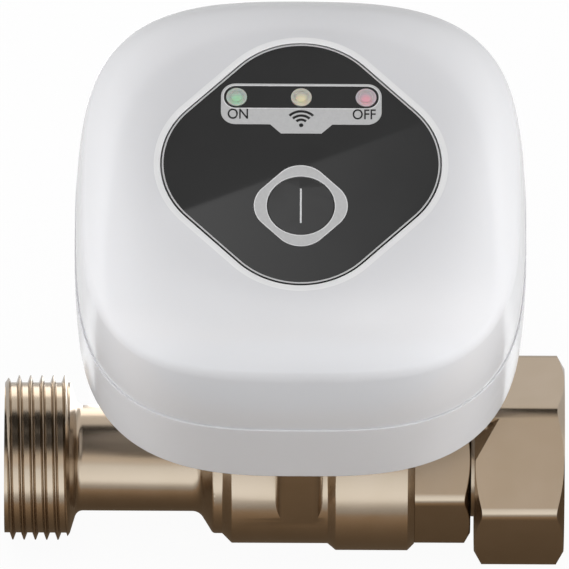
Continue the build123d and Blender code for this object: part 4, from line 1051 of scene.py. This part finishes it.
# %% [markdown]
# A photographer shapes metal with cards: dark ones for the dark bands and white ones for the bright bands.
# These cards show only in reflections, so they don't stand in the picture or dim the light on the plastic.
# A card's brightness runs from its first side to its last, between two shares of its width, which gives its
# bands a soft side. Its brightness at both sides comes after its corners, then the two shares.
# %% Cards for the reflections
def card(name, corners, near, far, start=0.0, end=1.0, tint="ffffff"):
    """A card with a glow that runs from its first side to its last."""
    piece = stage_face(name, corners)
    uv = piece.data.uv_layers.new(name="UVMap")
    for loop, place in zip(uv.data, ((0, 0), (1, 0), (1, 1), (0, 1))):
        loop.uv = place
    material = bpy.data.materials.new(name)
    tree = empty_tree(material)
    place = add(tree, "ShaderNodeUVMap")
    split = add(tree, "ShaderNodeSeparateXYZ", {0: place.outputs[0]})
    inputs = {"Value": split.outputs["Y"], "From Min": start, "From Max": end, "To Min": near, "To Max": far}
    ramp = add(tree, "ShaderNodeMapRange", inputs, interpolation_type="SMOOTHSTEP")
    glow = add(tree, "ShaderNodeEmission", {"Color": to_linear(tint), "Strength": ramp.outputs[0]})
    add(tree, "ShaderNodeOutputMaterial", {"Surface": glow.outputs[0]})
    set_finish(piece, material)
    for flag in ("camera", "diffuse", "shadow", "transmission", "volume_scatter"):
        setattr(piece, "visible_" + flag, False)


def upright(x, y, z):
    """Corners of a card that stands across the picture."""
    return [(x[0], y, z[0]), (x[1], y, z[0]), (x[1], y, z[1]), (x[0], y, z[1])]


WIDE, PIPE_SIDE, BACK = (-1.2, 1.2), 0.01, 0.08
NEAR_FLOOR, FAR_FLOOR, BACK_FLOOR = (-0.1, PIPE_SIDE), (-1.6, -0.1), (0.026, 1.6)
NECK, STANDING, STANDING_Z = (-0.034, -0.012), (-0.056, -0.01), (-0.016, 0.026)
FRONT, FRONT_Z = -1.0, (0.06, 0.95)
CEILING_Y, CEILING_Z, CEILING_SIDE, CEILING_SPLIT = (-0.25, 0.3), 0.3, 1.0, 0.036
WARM_FLOOR, WARM_WHITE, COOL_WHITE = "ffdfba", "fff8f0", "f4faff"
above, lower = level + 0.01 * MM, level + 0.005 * MM
card("near_floor_card", flat(WIDE, NEAR_FLOOR, above), 0.44, 0.13, 0.2, 0.85, WARM_FLOOR)
card("far_floor_card", flat(WIDE, FAR_FLOOR, above), 0.75, 0.5, 0.8, 1.0)
card("neck_card", flat(NECK, (PIPE_SIDE, BACK), above), 3.2, 2.8)
card("standing_card", upright(STANDING, BACK, STANDING_Z), 3.0, 2.6)
card("back_floor_card", flat(WIDE, BACK_FLOOR, lower), 0.72, 1.0)
left, right = (-CEILING_SIDE, CEILING_SPLIT), (CEILING_SPLIT, CEILING_SIDE)
card("ceiling_card", flat(left, CEILING_Y, CEILING_Z), 1.0, 0.04, 0.1, 0.36, WARM_WHITE)
card("right_ceiling_card", flat(right, CEILING_Y, CEILING_Z), 0.78, 0.1, 0.3, 0.62, WARM_WHITE)
card("front_card", upright(WIDE, FRONT, FRONT_Z), 1.75, 1.4, tint=COOL_WHITE)

# The panel's sheen: where its corners would lie on the panel as the camera sees them, in millimetres.
SHEEN_RISE = 80.0
SHEEN_SHIFT = SHEEN_RISE / math.tan(ELEVATION)
SHEEN = ((-40, -17.6), (-40, -22), (36, -40), (36, 15.4))
sheen_corners = [(x * MM, (y + SHEEN_SHIFT) * MM, (RIM_Z + SHEEN_RISE) * MM) for x, y in SHEEN]
card("panel_card", sheen_corners, 1.2, 0.05)
print("cards: 9")

# %% [markdown]
# Four soft lamps light the housing: a broad one above for the dome, one at each side for the side walls and
# a weak one in front. The front wall stays in half shade, and the surroundings fill it. No lamp shows in
# reflections, because the cards give those.
# %% Lamps
ABOVE_FLOOR, AT_HOUSING = (0, 0, 0.05), (0, 0, 0.07)


def soft_box(name, centre, aim, size, power):
    """A rectangular lamp at a place, facing a point."""
    data = bpy.data.lights.new(name, "AREA")
    data.shape = "RECTANGLE"
    data.size, data.size_y = size
    data.energy = power
    lamp = bpy.data.objects.new(name, data)
    bpy.context.scene.collection.objects.link(lamp)
    lamp.visible_glossy = False
    lamp.location = centre
    lamp.rotation_euler = (Vector(aim) - Vector(centre)).to_track_quat("-Z", "Y").to_euler()


soft_box("top_box", (0.0, -0.1, 1.2), ABOVE_FLOOR, (0.7, 0.7), 6.6)
soft_box("left_box", (-1.0, -0.16, 0.09), AT_HOUSING, (0.4, 0.15), 6.0)
soft_box("right_box", (1.0, -0.22, 0.09), AT_HOUSING, (0.4, 0.15), 7.0)
soft_box("front_box", (0.0, -1.2, 0.5), AT_HOUSING, (0.6, 0.4), 1.0)
print("lamps: 4")
